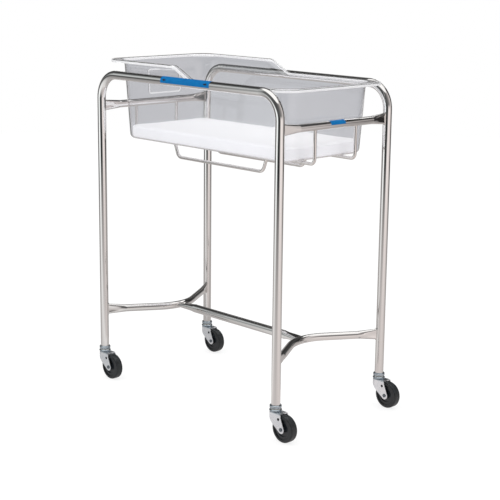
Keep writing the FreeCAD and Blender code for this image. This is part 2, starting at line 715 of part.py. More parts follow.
def rim_band(label, foot_low, head_low):
    """The space between the rim's top line and the same line lowered, all across the tub."""
    body = new_body(label)
    outline = Drawing(body, "side_view", "XZ_Plane")
    far = "band_half_length"
    top_first, top_last = outline.bent_line(
        [
            (f"-{far}", "tub_head_height"),
            ("-rim_step_start", "tub_head_height"),
            ("-rim_step_end", "tub_rim_height"),
            (far, "tub_rim_height"),
        ],
        "rim_step_radius",
    )
    low_first, low_last = outline.bent_line(
        [
            (f"-{far}", head_low),
            ("-rim_step_start", head_low),
            ("-rim_step_end", foot_low),
            (far, foot_low),
        ],
        "rim_step_radius",
    )
    for high, low, end, x in ((top_first, low_first, 1, f"-{far}"), (top_last, low_last, 2, far)):
        start = outline.sketch.getPoint(high, end)
        stop = outline.sketch.getPoint(low, end)
        side = outline.add(Part.LineSegment(start, stop))
        outline.rule("Coincident", side, 1, high, end)
        outline.rule("Coincident", side, 2, low, end)
    pad(body, outline, "lip_width", symmetric=True)
    return body


def make_tub():
    """A shell of clear sheet: drafted walls, a round floor edge, and a flared rim, higher at the head end."""
    block = new_body("tub_block")
    outline = Drawing(block, "underside", "XY_Plane").rounded_rectangle(
        "tub_half_length", "tub_half_width", "tub_corner_radius"
    )
    walls = pad(block, outline, "tub_head_height", taper="tub_draft")
    fillet(block, walls, "tub_floor_edge", lambda edge: level(edge, 0))
    above = Drawing(block, "above_the_rim", "XZ_Plane")
    first, last = above.bent_line(
        [
            ("-band_half_length", "tub_head_height"),
            ("-rim_step_start", "tub_head_height"),
            ("-rim_step_end", "tub_rim_height"),
            ("band_half_length", "tub_rim_height"),
        ],
        "rim_step_radius",
    )
    far, clear = size("band_half_length"), size("tub_clear_height")
    corners = [above.sketch.getPoint(last, 2), Vector(far, clear, 0), Vector(-far, clear, 0)]
    corners.append(above.sketch.getPoint(first, 1))
    lid = [above.add(Part.LineSegment(a, b)) for a, b in zip(corners, corners[1:])]
    above.rule("Coincident", lid[0], 1, last, 2)
    above.rule("Coincident", lid[0], 2, lid[1], 1)
    above.rule("Coincident", lid[1], 2, lid[2], 1)
    above.rule("Coincident", lid[2], 2, first, 1)
    above.fix(lid[1], 1, "band_half_length", "tub_clear_height")
    above.fix(lid[1], 2, "-band_half_length", "tub_clear_height")
    cut_through(block, above)

    plate = new_body("rim_outline")
    outline = Drawing(plate, "plan", "XY_Plane").rounded_rectangle(
        "lip_half_length", "lip_half_width", "lip_corner_radius"
    )
    pad(plate, outline, "tub_clear_height")
    ring = new_body("skirt_outline")
    outline = Drawing(ring, "plan", "XY_Plane")
    outline.rounded_rectangle("lip_half_length", "lip_half_width", "lip_corner_radius")
    outline.rounded_rectangle("lip_inner_half_length", "lip_inner_half_width", "lip_inner_corner_radius")
    pad(ring, outline, "tub_clear_height")

    sheet_band = rim_band("rim_sheet", "rim_under", "head_under")
    skirt_band = rim_band("rim_skirt", "rim_skirt_foot", "head_skirt_foot")
    lip = boolean("Common", "lip", Base=sheet_band, Tool=plate)
    skirt = boolean("Common", "skirt", Base=skirt_band, Tool=ring)

    cavity = new_body("cavity")
    outline = Drawing(cavity, "floor", "XY_Plane", ("0", "0", "tub_wall")).rounded_rectangle(
        "cavity_half_length", "cavity_half_width", "cavity_corner_radius"
    )
    room = pad(cavity, outline, "cavity_height", taper="tub_draft")
    fillet(cavity, room, "cavity_floor_edge", lambda edge: level(edge, size("tub_wall")))

    solid = boolean("MultiFuse", "tub_solid", Shapes=[block, lip, skirt])
    hollow = boolean("Cut", "tub_hollow", Base=solid, Tool=cavity)
    DOC.recompute()

    # The rim flows out of the walls in one bend, a brow inside and a tighter cove outside, and ends in a round edge.
    at_rim = lambda edge, _: edge.BoundBox.ZMin > size("rim_under") - HAIR
    inside = edges_on(hollow.Shape, cavity.Shape, at_rim)
    outside = [n for n in edges_on(hollow.Shape, block.Shape, at_rim) if n not in inside]
    outer = edges_on(hollow.Shape, plate.Shape, lambda _, middle: is_crest(hollow.Shape, middle))
    rounds = ((inside, "lip_brow_radius"), (outside, "lip_cove_radius"), (outer, "lip_edge_radius"))
    tub = DOC.addObject("Part::Fillet", "tub")
    tub.Base = hollow
    tub.Edges = [(n, size(radius), size(radius)) for edges, radius in rounds for n in edges]
    finish(tub, x="tub_offset", z="tub_base")


def edges_on(shape, wall, wanted):
    """The numbers of a shape's edges that lie on another's surface and for which wanted(edge, middle) holds."""
    numbers = []
    for number, edge in enumerate(shape.Edges, start=1):
        middle = edge.valueAt((edge.FirstParameter + edge.LastParameter) / 2)
        gap = wall.Shells[0].distToShape(Part.Vertex(middle))[0]
        if gap < HAIR and wanted(edge, middle):
            numbers.append(number)
    return numbers


def is_crest(shape, point):
    """Whether a point on a shape's outside has material below it and none above."""
    step = Vector(0, 0, 1)
    below, above = (shape.isInside(point + step * sign, HAIR, True) for sign in (-1, 1))
    return below and not above


def make_mattress():
    body = new_body("mattress")
    outline = Drawing(body, "plan", "XY_Plane").rounded_rectangle(
        "pad_half_length", "pad_half_width", "pad_corner_radius"
    )
    foam = pad(body, outline, "pad_thickness")
    top = size("pad_thickness")
    fillet(body, foam, "pad_edge_radius", lambda edge: level(edge, 0) or level(edge, top))
    finish(body, x="tub_offset", z="pad_base")


def make_label(label, name, radius, along, outward, **where):
    """A film wrapped part of the way round a tube, from just below its middle to past its top.

    along turns the Z axis to that of the tube, and outward is the direction that the film faces.
    """
    length, wrap, dip = f"{name}_length", f"{name}_angle", f"{name}_dip_angle"
    facing = along.inverted().multVec(outward)
    turn = math.degrees(math.atan2(facing.y, facing.x)) + size(dip) - size(wrap)
    shells = []
    glue = "Sizes.label_gap"
    for name, extra in (("outside", f"{glue} + Sizes.label_thickness"), ("inside", glue)):
        shell = DOC.addObject("Part::Cylinder", f"{label}_{name}")
        shell.setExpression("Radius", f"{term(radius)} + {extra}")
        bind(shell, "Height", length)
        bind(shell, "Angle", wrap)
        shells.append(shell)
    film = boolean("Cut", label, Base=shells[0], Tool=shells[1])
    film.Placement = FreeCAD.Placement(Vector(), along.multiply(Rotation(Vector(0, 0, 1), turn)))
    finish(film, **where)


def make_labels():
    """Two plain films: one on the front rail, facing out and up, and one on the foot crossbar."""
    to_x = Rotation(Vector(0, 0, 1), Vector(1, 0, 0))
    to_y = Rotation(Vector(0, 0, 1), Vector(0, 1, 0))
    front, foot = Vector(0, -1, 0), Vector(1, 0, 0)
    at_rail = {"x": "rail_label_end", "y": "-half_wide", "z": "rail_height"}
    at_crossbar = {"x": "half_long", "y": "bar_label_end", "z": "crossbar_height"}
    make_label("rail_label", "rail_label", "tube_radius", to_x, front, **at_rail)
    make_label("crossbar_label", "bar_label", "bar_radius", to_y, foot, **at_crossbar)


def make_wheel(corner, **where):
    """Tyre and hub, turned about the axle. The drawing's axes are the axle and the radius."""
    tyre = new_body(f"tyre_{corner}")
    side = [
        ("tyre_half_recess", "tyre_bead_inner"),
        ("tyre_half_recess", "tyre_recess_radius"),
        ("tyre_half_width", "tyre_recess_radius"),
        ("tyre_half_width", "wheel_radius"),
    ]
    other = [(f"-{y}", r) for y, r in reversed(side)]
    section = Drawing(tyre, "section", "YZ_Plane").polygon(side + other)
    solid = revolve(tyre, section, "H_Axis")
    tread = size("wheel_radius")
    fillet(tyre, solid, "tyre_shoulder", lambda edge: abs(edge.BoundBox.ZMax - tread) < HAIR)
    finish(tyre, **where)

    hub = new_body(f"hub_{corner}")
    side = [
        ("hub_half_width", "hub_bore"),
        ("hub_half_width", "hub_boss_radius"),
        ("hub_half_web", "hub_boss_radius"),
        ("hub_half_web", "hub_rim_radius"),
        ("hub_half_rim", "hub_rim_radius"),
        ("hub_half_rim", "tyre_bead_radius"),
    ]
    other = [(f"-{y}", r) for y, r in reversed(side)]
    section = Drawing(hub, "section", "YZ_Plane").polygon(side + other)
    revolve(hub, section, "H_Axis")
    finish(hub, **where)


def fork_outline(drawing):
    """What is cut away below, before and behind the fork, seen from the side.

    The lower edge slants from the nose down to a round tip about the axle; the back edge rises to the crown.
    """
    radius = size("fork_tip_radius")
    axle = Vector(size("caster_trail"), size("wheel_radius"), 0)
    corners = [
        ("-fork_reach", "fork_hood_height"),
        ("-fork_nose", "fork_hood_height"),
        ("fork_bend_x", "fork_bend_height"),
        ("fork_tail", "crown_underside"),
        ("fork_tail", "collar_top"),
        ("fork_room_reach", "collar_top"),
        ("fork_room_reach", "-fork_tip_radius"),
        ("-fork_reach", "-fork_tip_radius"),
    ]
    points = [Vector(size(x), size(y), 0) for x, y in corners]
    bend, tail = points[2], points[3]

    def touch(point, side):
        """Where the line from a point touches the tip's circle."""
        away = point - axle
        swing = math.degrees(math.acos(radius / away.Length))
        return axle + Rotation(Vector(0, 0, side), swing).multVec(away.normalize() * radius)

    low, high = touch(bend, 1), touch(tail, -1)
    tip, first, last = drawing.arc(low, axle + Vector(radius, -radius, 0).normalize() * radius, high)
    slope = drawing.add(Part.LineSegment(bend, low))
    back = drawing.add(Part.LineSegment(high, tail))
    chain = points[3:] + points[:3]
    lines = [drawing.add(Part.LineSegment(a, b)) for a, b in zip(chain, chain[1:])]
    outline = [back] + lines + [slope]
    for this, following in zip(outline, outline[1:]):
        drawing.rule("Coincident", this, 2, following, 1)
    drawing.rule("Tangent", slope, 2, tip, first)
    drawing.rule("Tangent", tip, last, back, 1)
    for line, cells in zip(lines + [slope], corners[3:] + corners[:3]):
        drawing.fix(line, 1, *cells)
    drawing.fix(tip, 3, "caster_trail", "wheel_radius")
    drawing.measure("fork_tip_radius", "Radius", tip)


def hood_plan(drawing, half_width, far):
    """The fork in plan: a half-round nose and two straight sides."""
    r, c = size(half_width), -size("fork_nose_centre")
    end = size(far)
    nose, first, last = drawing.arc(Vector(c, r, 0), Vector(c - r, 0, 0), Vector(c, -r, 0))
    chain = [Vector(c, -r, 0), Vector(end, -r, 0), Vector(end, r, 0), Vector(c, r, 0)]
    sides = [drawing.add(Part.LineSegment(a, b)) for a, b in zip(chain, chain[1:])]
    drawing.rule("Tangent", nose, last, sides[0], 1)
    drawing.rule("Coincident", sides[0], 2, sides[1], 1)
    drawing.rule("Coincident", sides[1], 2, sides[2], 1)
    drawing.rule("Tangent", sides[2], 2, nose, first)
    drawing.rule("Horizontal", sides[0])
    drawing.rule("Vertical", sides[1])
    drawing.fix(nose, 3, "-fork_nose_centre", "0")
    drawing.measure(half_width, "Radius", nose)
    drawing.fix(sides[1], 1, x=far)


def make_fork(corner, **where):
    """A stamped hood over the wheel with two plates down to the axle, open behind."""
    body = new_body(f"fork_{corner}")
    plan = Drawing(body, "plan", "XY_Plane")
    hood_plan(plan, "fork_half_width", "fork_reach")
    blank = pad(body, plan, "fork_top")
    top = size("fork_top")
    fillet(body, blank, "fork_shoulder_radius", lambda edge: level(edge, top) and edge.BoundBox.XMin < 0)
    room = Drawing(body, "wheel_room", "XY_Plane")
    hood_plan(room, "fork_half_gap", "fork_room_reach")
    hollow = body.newObject("PartDesign::Pocket", "hollow")
    hollow.Profile = room.sketch
    hollow.Type = "Length"
    bind(hollow, "Length", "crown_underside")
    hollow.Reversed = True
    side = Drawing(body, "side_view", "XZ_Plane")
    fork_outline(side)
    cut_through(body, side)
    holes = Drawing(body, "holes", "XZ_Plane")
    holes.ring("fork_hole_radius", x="fork_hole_x", y="fork_hole_height")
    holes.ring("axle_seat", x="caster_trail", y="wheel_radius")
    cut_through(body, holes)
    swivel = Drawing(body, "swivel_hole", "XY_Plane").ring("swivel_bore")
    cut_through(body, swivel)
    finish(body, **where)


def make_turned(label, outline, **where):
    """A piece turned about the swivel axis, from corners given as (radius, height)."""
    body = new_body(label)
    section = Drawing(body, "section", "XZ_Plane").polygon(outline)
    revolve(body, section, "V_Axis")
    finish(body, **where)


def make_axle(corner, **where):
    """The rivet through fork and hub: a plain shank with a low head on each side."""
    body = new_body(f"axle_{corner}")
    side = [
        ("fork_half_width", "axle_radius"),
        ("fork_half_width", "rivet_radius"),
        ("axle_half_length", "rivet_radius"),
        ("axle_half_length", "0"),
    ]
    other = [(f"-{y}", r) for y, r in reversed(side)]
    section = Drawing(body, "section", "YZ_Plane").polygon(side + other)
    revolve(body, section, "H_Axis")
    finish(body, **where)


def make_caster(corner, x, axle_x, y):
    """Everything under one leg, from the plug inside the tube down to the tread."""
    here = {"x": x, "y": y}
    at_axle = {"x": axle_x, "y": y, "z": "wheel_radius"}
    make_turned(
        f"leg_plug_{corner}",
        [
            ("stem_seat", "plug_bottom"),
            ("plug_radius", "plug_bottom"),
            ("plug_radius", "plug_top"),
            ("stem_seat", "plug_top"),
        ],
        **here,
    )
    make_turned(
        f"swivel_stem_{corner}",
        [
            ("0", "stem_head_bottom"),
            ("stem_head_radius", "stem_head_bottom"),
            ("stem_head_radius", "stem_head_top"),
            ("stem_radius", "stem_head_top"),
            ("stem_radius", "stem_top"),
            ("0", "stem_top"),
        ],
        **here,
    )
    make_turned(
        f"collar_{corner}",
        [
            ("stem_seat", "collar_base"),
            ("collar_neck_radius", "collar_base"),
            ("collar_radius", "collar_belt_low"),
            ("collar_radius", "collar_belt_high"),
            ("collar_rim_radius", "collar_top"),
            ("leg_socket", "collar_top"),
            ("leg_socket", "leg_bottom"),
            ("stem_seat", "leg_bottom"),
        ],
        **here,
    )
    make_turned(
        f"swivel_washer_{corner}",
        [
            ("swivel_bore", "washer_base"),
            ("washer_radius", "washer_base"),
            ("washer_radius", "washer_top"),
            ("swivel_bore", "washer_top"),
        ],
        **here,
    )
    make_turned(
        f"raceway_{corner}",
        [
            ("swivel_bore", "fork_top"),
            ("race_lip_radius", "fork_top"),
            ("race_radius", "race_belt_low"),
            ("race_radius", "race_belt_high"),
            ("race_lip_radius", "race_top"),
            ("swivel_bore", "race_top"),
        ],
        **here,
    )
    make_fork(corner, **here)
    make_axle(corner, **at_axle)
    make_wheel(corner, **at_axle)


make_side_frame("front_side_frame", "-half_wide")
make_side_frame("back_side_frame", "half_wide")
make_crossbar("head_crossbar", "-half_long")
make_crossbar("foot_crossbar", "half_long")
make_bow("head_bow", "-half_long", turned=True)
make_bow("foot_bow", "half_long", turned=False)
make_stretcher()
make_cradle_rod("front_cradle_rod", "-half_rod_spacing")
make_cradle_rod("back_cradle_rod", "half_rod_spacing")
make_tub()
make_mattress()
make_labels()
for end, leg_x, axle_x in (("head", "-half_long", "head_axle"), ("foot", "half_long", "foot_axle")):
    for side, leg_y in (("front", "-half_wide"), ("back", "half_wide")):
        make_caster(f"{end}_{side}", leg_x, axle_x, leg_y)

DOC.recompute()
for thing in DOC.Objects:
    if "Invalid" in thing.State or "Error" in thing.State:
        raise RuntimeError(f"{thing.Label}: {thing.State}")
for part in SUB_PARTS:
    if part.Shape.isNull() or not part.Shape.isValid():
        raise RuntimeError(f"{part.Label}: no valid shape")

os.makedirs("parts", exist_ok=True)
for part in SUB_PARTS:
    part.Shape.exportStep(f"parts/{part.Label}.step")
    box = part.Shape.BoundBox
    print(f"{part.Label:24} {len(part.Shape.Solids)} solid, {part.Shape.Volume / 1000:8.2f} cm3,"
          f" {box.XLength:6.1f} x {box.YLength:6.1f} x {box.ZLength:6.1f} mm")
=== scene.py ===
# %% [markdown]
# # A hospital bassinet, step by step
# The object is a clear tub for a newborn on an open stand of bent steel tube. The stand and its casters
# come from a CAD model, which this lesson loads as a fixed frame. Everything here is in metres and in that
# model's own axes: +Z is up, the raised head end of the tub is towards -X, and the front rail is at -Y.

# %% Load the frame
import bpy, bmesh
import json
import math
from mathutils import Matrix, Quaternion, Vector


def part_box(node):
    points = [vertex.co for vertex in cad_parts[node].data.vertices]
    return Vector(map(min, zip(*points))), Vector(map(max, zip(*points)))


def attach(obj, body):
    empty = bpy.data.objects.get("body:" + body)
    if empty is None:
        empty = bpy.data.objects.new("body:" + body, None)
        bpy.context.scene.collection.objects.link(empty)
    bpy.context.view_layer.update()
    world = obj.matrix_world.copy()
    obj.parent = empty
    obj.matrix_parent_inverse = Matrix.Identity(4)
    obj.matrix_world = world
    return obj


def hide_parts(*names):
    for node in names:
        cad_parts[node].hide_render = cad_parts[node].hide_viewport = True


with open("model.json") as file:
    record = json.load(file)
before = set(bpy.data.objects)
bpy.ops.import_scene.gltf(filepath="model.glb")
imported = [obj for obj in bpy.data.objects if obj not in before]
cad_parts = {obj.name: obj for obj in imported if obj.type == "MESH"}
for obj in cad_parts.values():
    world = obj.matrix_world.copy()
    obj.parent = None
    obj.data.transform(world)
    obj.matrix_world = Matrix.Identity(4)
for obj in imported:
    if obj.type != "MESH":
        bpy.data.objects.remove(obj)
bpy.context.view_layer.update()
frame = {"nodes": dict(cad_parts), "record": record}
MM = 0.001

# %% [markdown]
# ## The camera
# A long lens far away keeps the legs nearly parallel. Its place is given the way a photographer would say
# it: how far round the object, how high above the floor line, how far off, and what it points at. A small
# roll is left in, as from a tripod that isn't quite level.

# %% Set up the camera
CAMERA_AZIMUTH = math.radians(46.05)
CAMERA_ELEVATION = math.radians(12.54)
CAMERA_ROLL = math.radians(0.62)
CAMERA_DISTANCE = 3.903
CAMERA_TARGET = Vector((0.0167, 0, 0.4394))
LENS = 95.85


def direction(azimuth, elevation):
    """The unit vector from the object to a place round it: azimuth 0 in front, 90 degrees at the foot."""
    flat = math.cos(elevation)
    return Vector((math.sin(azimuth) * flat, -math.cos(azimuth) * flat, math.sin(elevation)))


back = direction(CAMERA_AZIMUTH, CAMERA_ELEVATION)
camera = bpy.data.objects.new("camera", bpy.data.cameras.new("camera"))
camera.data.lens = LENS
camera.data.clip_end = 50
camera.location = CAMERA_TARGET + back * CAMERA_DISTANCE
camera.rotation_mode = "QUATERNION"
camera.rotation_quaternion = (-back).to_track_quat("-Z", "Y") @ Quaternion((0, 0, 1), CAMERA_ROLL)
bpy.context.collection.objects.link(camera)
bpy.context.scene.camera = camera
bpy.context.scene.view_settings.view_transform = "Standard"
print("camera at", [round(v, 3) for v in camera.location])

# %% [markdown]
# ## Two helpers for nodes
# Colours are chosen as sRGB hex codes, because that is how a screen shows them, but the renderer adds up
# light, so it needs linear values. One function converts them. A second one adds a node with its settings
# and its links, from the nodes before it and to the socket after it, so that a material reads from top to
# bottom like a recipe.

# %% Colour and node helpers
def linear(code):
    """An sRGB hex colour such as "c8c8c8" as linear red, green, blue and alpha."""
    channels = [int(code[i:i + 2], 16) / 255 for i in (0, 2, 4)]
    return [c / 12.92 if c <= 0.04045 else ((c + 0.055) / 1.055) ** 2.4 for c in channels] + [1.0]


def add(tree, kind, inputs=None, stops=(), to=None, **settings):
    """Adds a node and links its first output to a socket, if one is given.

    An input is a value or another node's output. Stops are the places and colours of a ramp.
    """
    made = tree.nodes.new(kind)
    for name, value in settings.items():
        setattr(made, name, value)
    for socket, value in (inputs or {}).items():
        if isinstance(value, bpy.types.NodeSocket):
            tree.links.new(value, made.inputs[socket])
        else:
            made.inputs[socket].default_value = value
    for number, (place, colour) in enumerate(stops):
        old = made.color_ramp.elements
        element = old[number] if number < 2 else old.new(place)
        element.position = place
        element.color = colour
    if to is not None:
        tree.links.new(made.outputs[0], to)
    return made


# A Mix node holds a pair of sockets for each kind of value; these are the numbers of those for colour.
COLOUR_A, COLOUR_B, COLOUR_OUT = 6, 7, 2
print("steel grey in linear light:", [round(c, 3) for c in linear("c8c4c0")])

# %% [markdown]
# ## The studio
# Polished tube has almost no colour of its own: what the eye reads as steel is the room mirrored in it. So
# the room is designed for its reflection, as greys that change with the angle round the object.

# %% Greys round the object
WHITE = linear("ffffff")
RED_SHARE, BLUE_SHARE = 1.5, 0.3     # of the warmth: warm steel is more pink than yellow


def greys_round(stops):
    """Stops for a ramp that runs once round the object, from (degrees, grey in linear light, warmth).

    Angle 0 is at the camera and positive to its right. A warmth below 0 cools the grey.
    """
    return [(angle / 360 + 0.5,
             [grey * (1 + RED_SHARE * warmth), grey, grey * (1 - BLUE_SHARE * warmth), 1.0])
            for angle, grey, warmth in stops]


def look_round(tree, vector):
    """The angle round the object from the camera, from 0 to 1, for a place or a direction."""
    turned = add(tree, "ShaderNodeMapping",
                 {"Vector": vector, "Rotation": (0, 0, math.pi / 2 - CAMERA_AZIMUTH)})
    radial = add(tree, "ShaderNodeTexGradient", {"Vector": turned.outputs[0]}, gradient_type="RADIAL")
    return radial.outputs["Fac"]


print("a warm grey:", [round(c, 3) for c in greys_round([(0, 0.5, 0.05)])[0][1]])

# %% [markdown]
# Clear plastic would vanish in front of white. A photographer hangs a grey card behind it, out of the
# direct view. Here the grey belongs to the room, and only rays that come straight through the plastic see
# it: what steel mirrors or cloth gathers through the plastic stays the same.

# %% What shows through the plastic
BACKDROP_GREY, SIDE_GREY = linear("bfc0c4"), linear("d5d6d9")
BACKDROP_INNER, BACKDROP_OUTER = math.cos(math.radians(13)), math.cos(math.radians(26))
GREY_FROM, GREY_TO = 0.10, -0.05     # the heights, as directions, between which the low grey fades in


def backdrop(tree, vector):
    """Grey on the far side, a paler grey low down all round, and white above."""
    unit = add(tree, "ShaderNodeVectorMath", {0: vector}, operation="NORMALIZE")
    facing = add(tree, "ShaderNodeVectorMath", {0: unit.outputs[0], 1: -back}, operation="DOT_PRODUCT")
    beyond = add(tree, "ShaderNodeMapRange",
                 {"Value": facing.outputs["Value"], "From Min": BACKDROP_OUTER, "From Max": BACKDROP_INNER},
                 interpolation_type="SMOOTHSTEP")
    height = add(tree, "ShaderNodeSeparateXYZ", {"Vector": unit.outputs[0]}).outputs["Z"]
    low = add(tree, "ShaderNodeMapRange", {"Value": height, "From Min": GREY_FROM, "From Max": GREY_TO},
              interpolation_type="SMOOTHSTEP")
    shown = add(tree, "ShaderNodeMix", {"Factor": low.outputs[0], COLOUR_A: WHITE, COLOUR_B: SIDE_GREY},
                data_type="RGBA")
    shown = add(tree, "ShaderNodeMix",
                {"Factor": beyond.outputs[0], COLOUR_A: shown.outputs[COLOUR_OUT], COLOUR_B: BACKDROP_GREY},
                data_type="RGBA")
    return shown.outputs[COLOUR_OUT]


def straight_through(tree, path):
    """1 for a ray that passed plastic and met no mirror and no matt surface before it, else 0."""
    turns = add(tree, "ShaderNodeMath", {0: path["Diffuse Depth"], 1: path["Glossy Depth"]}, operation="ADD")
    straight = add(tree, "ShaderNodeMath", {0: turns.outputs[0], 1: 1}, operation="LESS_THAN")
    through = add(tree, "ShaderNodeMath", {0: path["Is Transmission Ray"], 1: straight.outputs[0]},
                  operation="MULTIPLY")
    return through.outputs[0]


print("backdrop grey in linear light:", [round(c, 3) for c in BACKDROP_GREY])

# %% [markdown]
# Metal sees a white screen on the left, a dark gap behind the camera, and a warm pale wall on the right
# that ends in a second dark gap. Higher up the room is dark, with one pale panel on each side, and straight
# overhead it is white. Cloth and rubber are lit by a plain white room. To the camera itself the background
# is plain white.

# %% The room
AMBIENT = 0.92
MIRROR_STRENGTH = 1.3
ABOVE_FROM, ABOVE_TO = -0.02, 0.20          # the heights, as directions, where the walls give way to the
OVERHEAD_FROM, OVERHEAD_TO = 0.74, 0.84     # upper room, and where that gives way to the white overhead
WALLS = [(-180, 0.40, 0.03), (-150, 0.40, 0.0), (-128, 0.26, 0.0), (-110, 0.06, 0.0), (-96, 0.08, 0.0),
         (-84, 0.80, -0.02), (-72, 1.10, -0.02), (-56, 0.95, -0.03), (-46, 0.35, -0.04), (-38, 0.03, -0.06),
         (-8, 0.02, -0.05), (2, 0.10, 0.0), (12, 0.52, 0.03), (26, 0.80, 0.05), (52, 0.80, 0.05),
         (66, 0.62, 0.05), (87, 0.52, 0.05), (93, 0.02, 0.05), (116, 0.02, 0.05), (128, 0.34, 0.02),
         (160, 0.45, 0.02)]
UPPER = [(-180, 0.08, 0.0), (-172, 0.14, 0.0), (-160, 0.03, 0.0), (-136, 0.03, 0.0), (-122, 0.10, -0.03),
         (-110, 0.18, -0.03), (-101, 0.62, -0.03), (-94, 0.34, -0.03), (-84, 0.12, -0.03),
         (-40, 0.06, -0.05), (10, 0.12, 0.0), (50, 0.30, 0.04), (78, 0.50, 0.04), (91, 0.52, 0.04),
         (100, 0.12, 0.04), (110, 0.03, 0.0), (124, 0.02, 0.0), (150, 0.05, 0.0), (170, 0.03, 0.0)]

world = bpy.data.worlds.new("studio")
bpy.context.scene.world = world
world.use_nodes = True
tree = world.node_tree
tree.nodes.clear()
path = add(tree, "ShaderNodeLightPath").outputs
place = add(tree, "ShaderNodeTexCoord").outputs["Generated"]
around = look_round(tree, place)
height = add(tree, "ShaderNodeSeparateXYZ", {"Vector": place}).outputs["Z"]
walls = add(tree, "ShaderNodeValToRGB", {"Fac": around}, stops=greys_round(WALLS))
upper = add(tree, "ShaderNodeValToRGB", {"Fac": around}, stops=greys_round(UPPER))
above = add(tree, "ShaderNodeMapRange", {"Value": height, "From Min": ABOVE_FROM, "From Max": ABOVE_TO},
            interpolation_type="SMOOTHSTEP")
over = add(tree, "ShaderNodeMapRange", {"Value": height, "From Min": OVERHEAD_FROM, "From Max": OVERHEAD_TO},
           interpolation_type="SMOOTHSTEP")
room = add(tree, "ShaderNodeMix",
           {"Factor": above.outputs[0], COLOUR_A: walls.outputs[0], COLOUR_B: upper.outputs[0]},
           data_type="RGBA")
room = add(tree, "ShaderNodeMix",
           {"Factor": over.outputs[0], COLOUR_A: room.outputs[COLOUR_OUT], COLOUR_B: WHITE},
           data_type="RGBA")
mirrored = add(tree, "ShaderNodeBackground",
               {"Color": room.outputs[COLOUR_OUT], "Strength": MIRROR_STRENGTH})
plain = add(tree, "ShaderNodeBackground", {"Color": WHITE, "Strength": AMBIENT})
unlit = add(tree, "ShaderNodeBackground", {"Color": backdrop(tree, place)})
white = add(tree, "ShaderNodeBackground", {"Color": WHITE})
seen = add(tree, "ShaderNodeMixShader",
           {"Fac": path["Is Glossy Ray"], 1: plain.outputs[0], 2: mirrored.outputs[0]})
seen = add(tree, "ShaderNodeMixShader",
           {"Fac": straight_through(tree, path), 1: seen.outputs[0], 2: unlit.outputs[0]})
seen = add(tree, "ShaderNodeMixShader",
           {"Fac": path["Is Camera Ray"], 1: seen.outputs[0], 2: white.outputs[0]})
add(tree, "ShaderNodeOutputWorld", {"Surface": seen.outputs[0]})
print("greys round the object:", len(WALLS), "on the walls,", len(UPPER), "above them")

# %% [markdown]
# The floor is a pale disc. The camera sees it as the same white as the background, apart from the soft
# shadow that holds the casters to the ground. Metal sees it as warm grey close by, which gives the lower
# half of each leg its even tone, and further out as the foot of the room's walls.

# %% The floor disc
FLOOR_RADIUS = 6.0
FLOOR_SEGMENTS = 128

mesh = bpy.data.meshes.new("floor")
shape = bmesh.new()
bmesh.ops.create_circle(shape, cap_ends=True, segments=FLOOR_SEGMENTS, radius=FLOOR_RADIUS)
shape.to_mesh(mesh)
shape.free()
floor = bpy.data.objects.new("floor", mesh)
bpy.context.collection.objects.link(floor)
print("floor radius:", FLOOR_RADIUS, "m")

# %% What the floor shows to each kind of ray
NEAR_FLOOR, FAR_FLOOR = 0.5, 4.5        # metres out, between which its greys give way to those of the walls
SEEN_FROM = (0, 0, 0.85)                # the middle of the tub, from which the backdrop's height is judged
GLOW, GLOW_SHARE = 1.1, 0.7             # the strength and share of plain white; the rest takes the shadow
FLOOR = [(-180, 0.44, 0.03), (-128, 0.40, 0.03), (-116, 0.38, 0.02), (-84, 0.58, 0.01), (-52, 0.70, 0.01),
         (-28, 0.57, 0.03), (0, 0.51, 0.04), (23, 0.54, 0.05), (47, 0.58, 0.05), (74, 0.52, 0.05),
         (104, 0.40, 0.04), (128, 0.38, 0.04), (160, 0.42, 0.03)]

paper = bpy.data.materials.new("seamless_paper")
paper.use_nodes = True
tree = paper.node_tree
tree.nodes.clear()
path = add(tree, "ShaderNodeLightPath").outputs
place = add(tree, "ShaderNodeTexCoord").outputs["Object"]
around = look_round(tree, place)
near = add(tree, "ShaderNodeValToRGB", {"Fac": around}, stops=greys_round(FLOOR))
far = add(tree, "ShaderNodeValToRGB", {"Fac": around}, stops=greys_round(WALLS))
out = add(tree, "ShaderNodeVectorMath", {0: place}, operation="LENGTH")
away = add(tree, "ShaderNodeMapRange",
           {"Value": out.outputs["Value"], "From Min": NEAR_FLOOR, "From Max": FAR_FLOOR})
sheen = add(tree, "ShaderNodeMix",
            {"Factor": away.outputs[0], COLOUR_A: near.outputs[0], COLOUR_B: far.outputs[0]},
            data_type="RGBA")
mirrored = add(tree, "ShaderNodeEmission", {"Color": sheen.outputs[COLOUR_OUT], "Strength": MIRROR_STRENGTH})
from_tub = add(tree, "ShaderNodeVectorMath", {0: place, 1: SEEN_FROM}, operation="SUBTRACT")
through = add(tree, "ShaderNodeEmission", {"Color": backdrop(tree, from_tub.outputs[0])})
matt = add(tree, "ShaderNodeBsdfDiffuse", {"Color": linear("f8f8f8")})
glow = add(tree, "ShaderNodeEmission", {"Strength": GLOW})
bright = add(tree, "ShaderNodeMixShader", {"Fac": GLOW_SHARE, 1: matt.outputs[0], 2: glow.outputs[0]})
surface = add(tree, "ShaderNodeMixShader",
              {"Fac": path["Is Camera Ray"], 1: matt.outputs[0], 2: bright.outputs[0]})
surface = add(tree, "ShaderNodeMixShader",
              {"Fac": path["Is Glossy Ray"], 1: surface.outputs[0], 2: mirrored.outputs[0]})
surface = add(tree, "ShaderNodeMixShader",
              {"Fac": straight_through(tree, path), 1: surface.outputs[0], 2: through.outputs[0]})
add(tree, "ShaderNodeOutputMaterial", {"Surface": surface.outputs[0]})
mesh.materials.append(paper)
print("floor finish:", paper.name)

# %% [markdown]
# Two soft lamps give the cloth and rubber their shape: a large one high on the left, and a weak one on the
# right. Metal doesn't see them, because its reflections come from the room itself. A third, long and thin,
# is there to be mirrored: it draws the bright line along the top of the low bows.

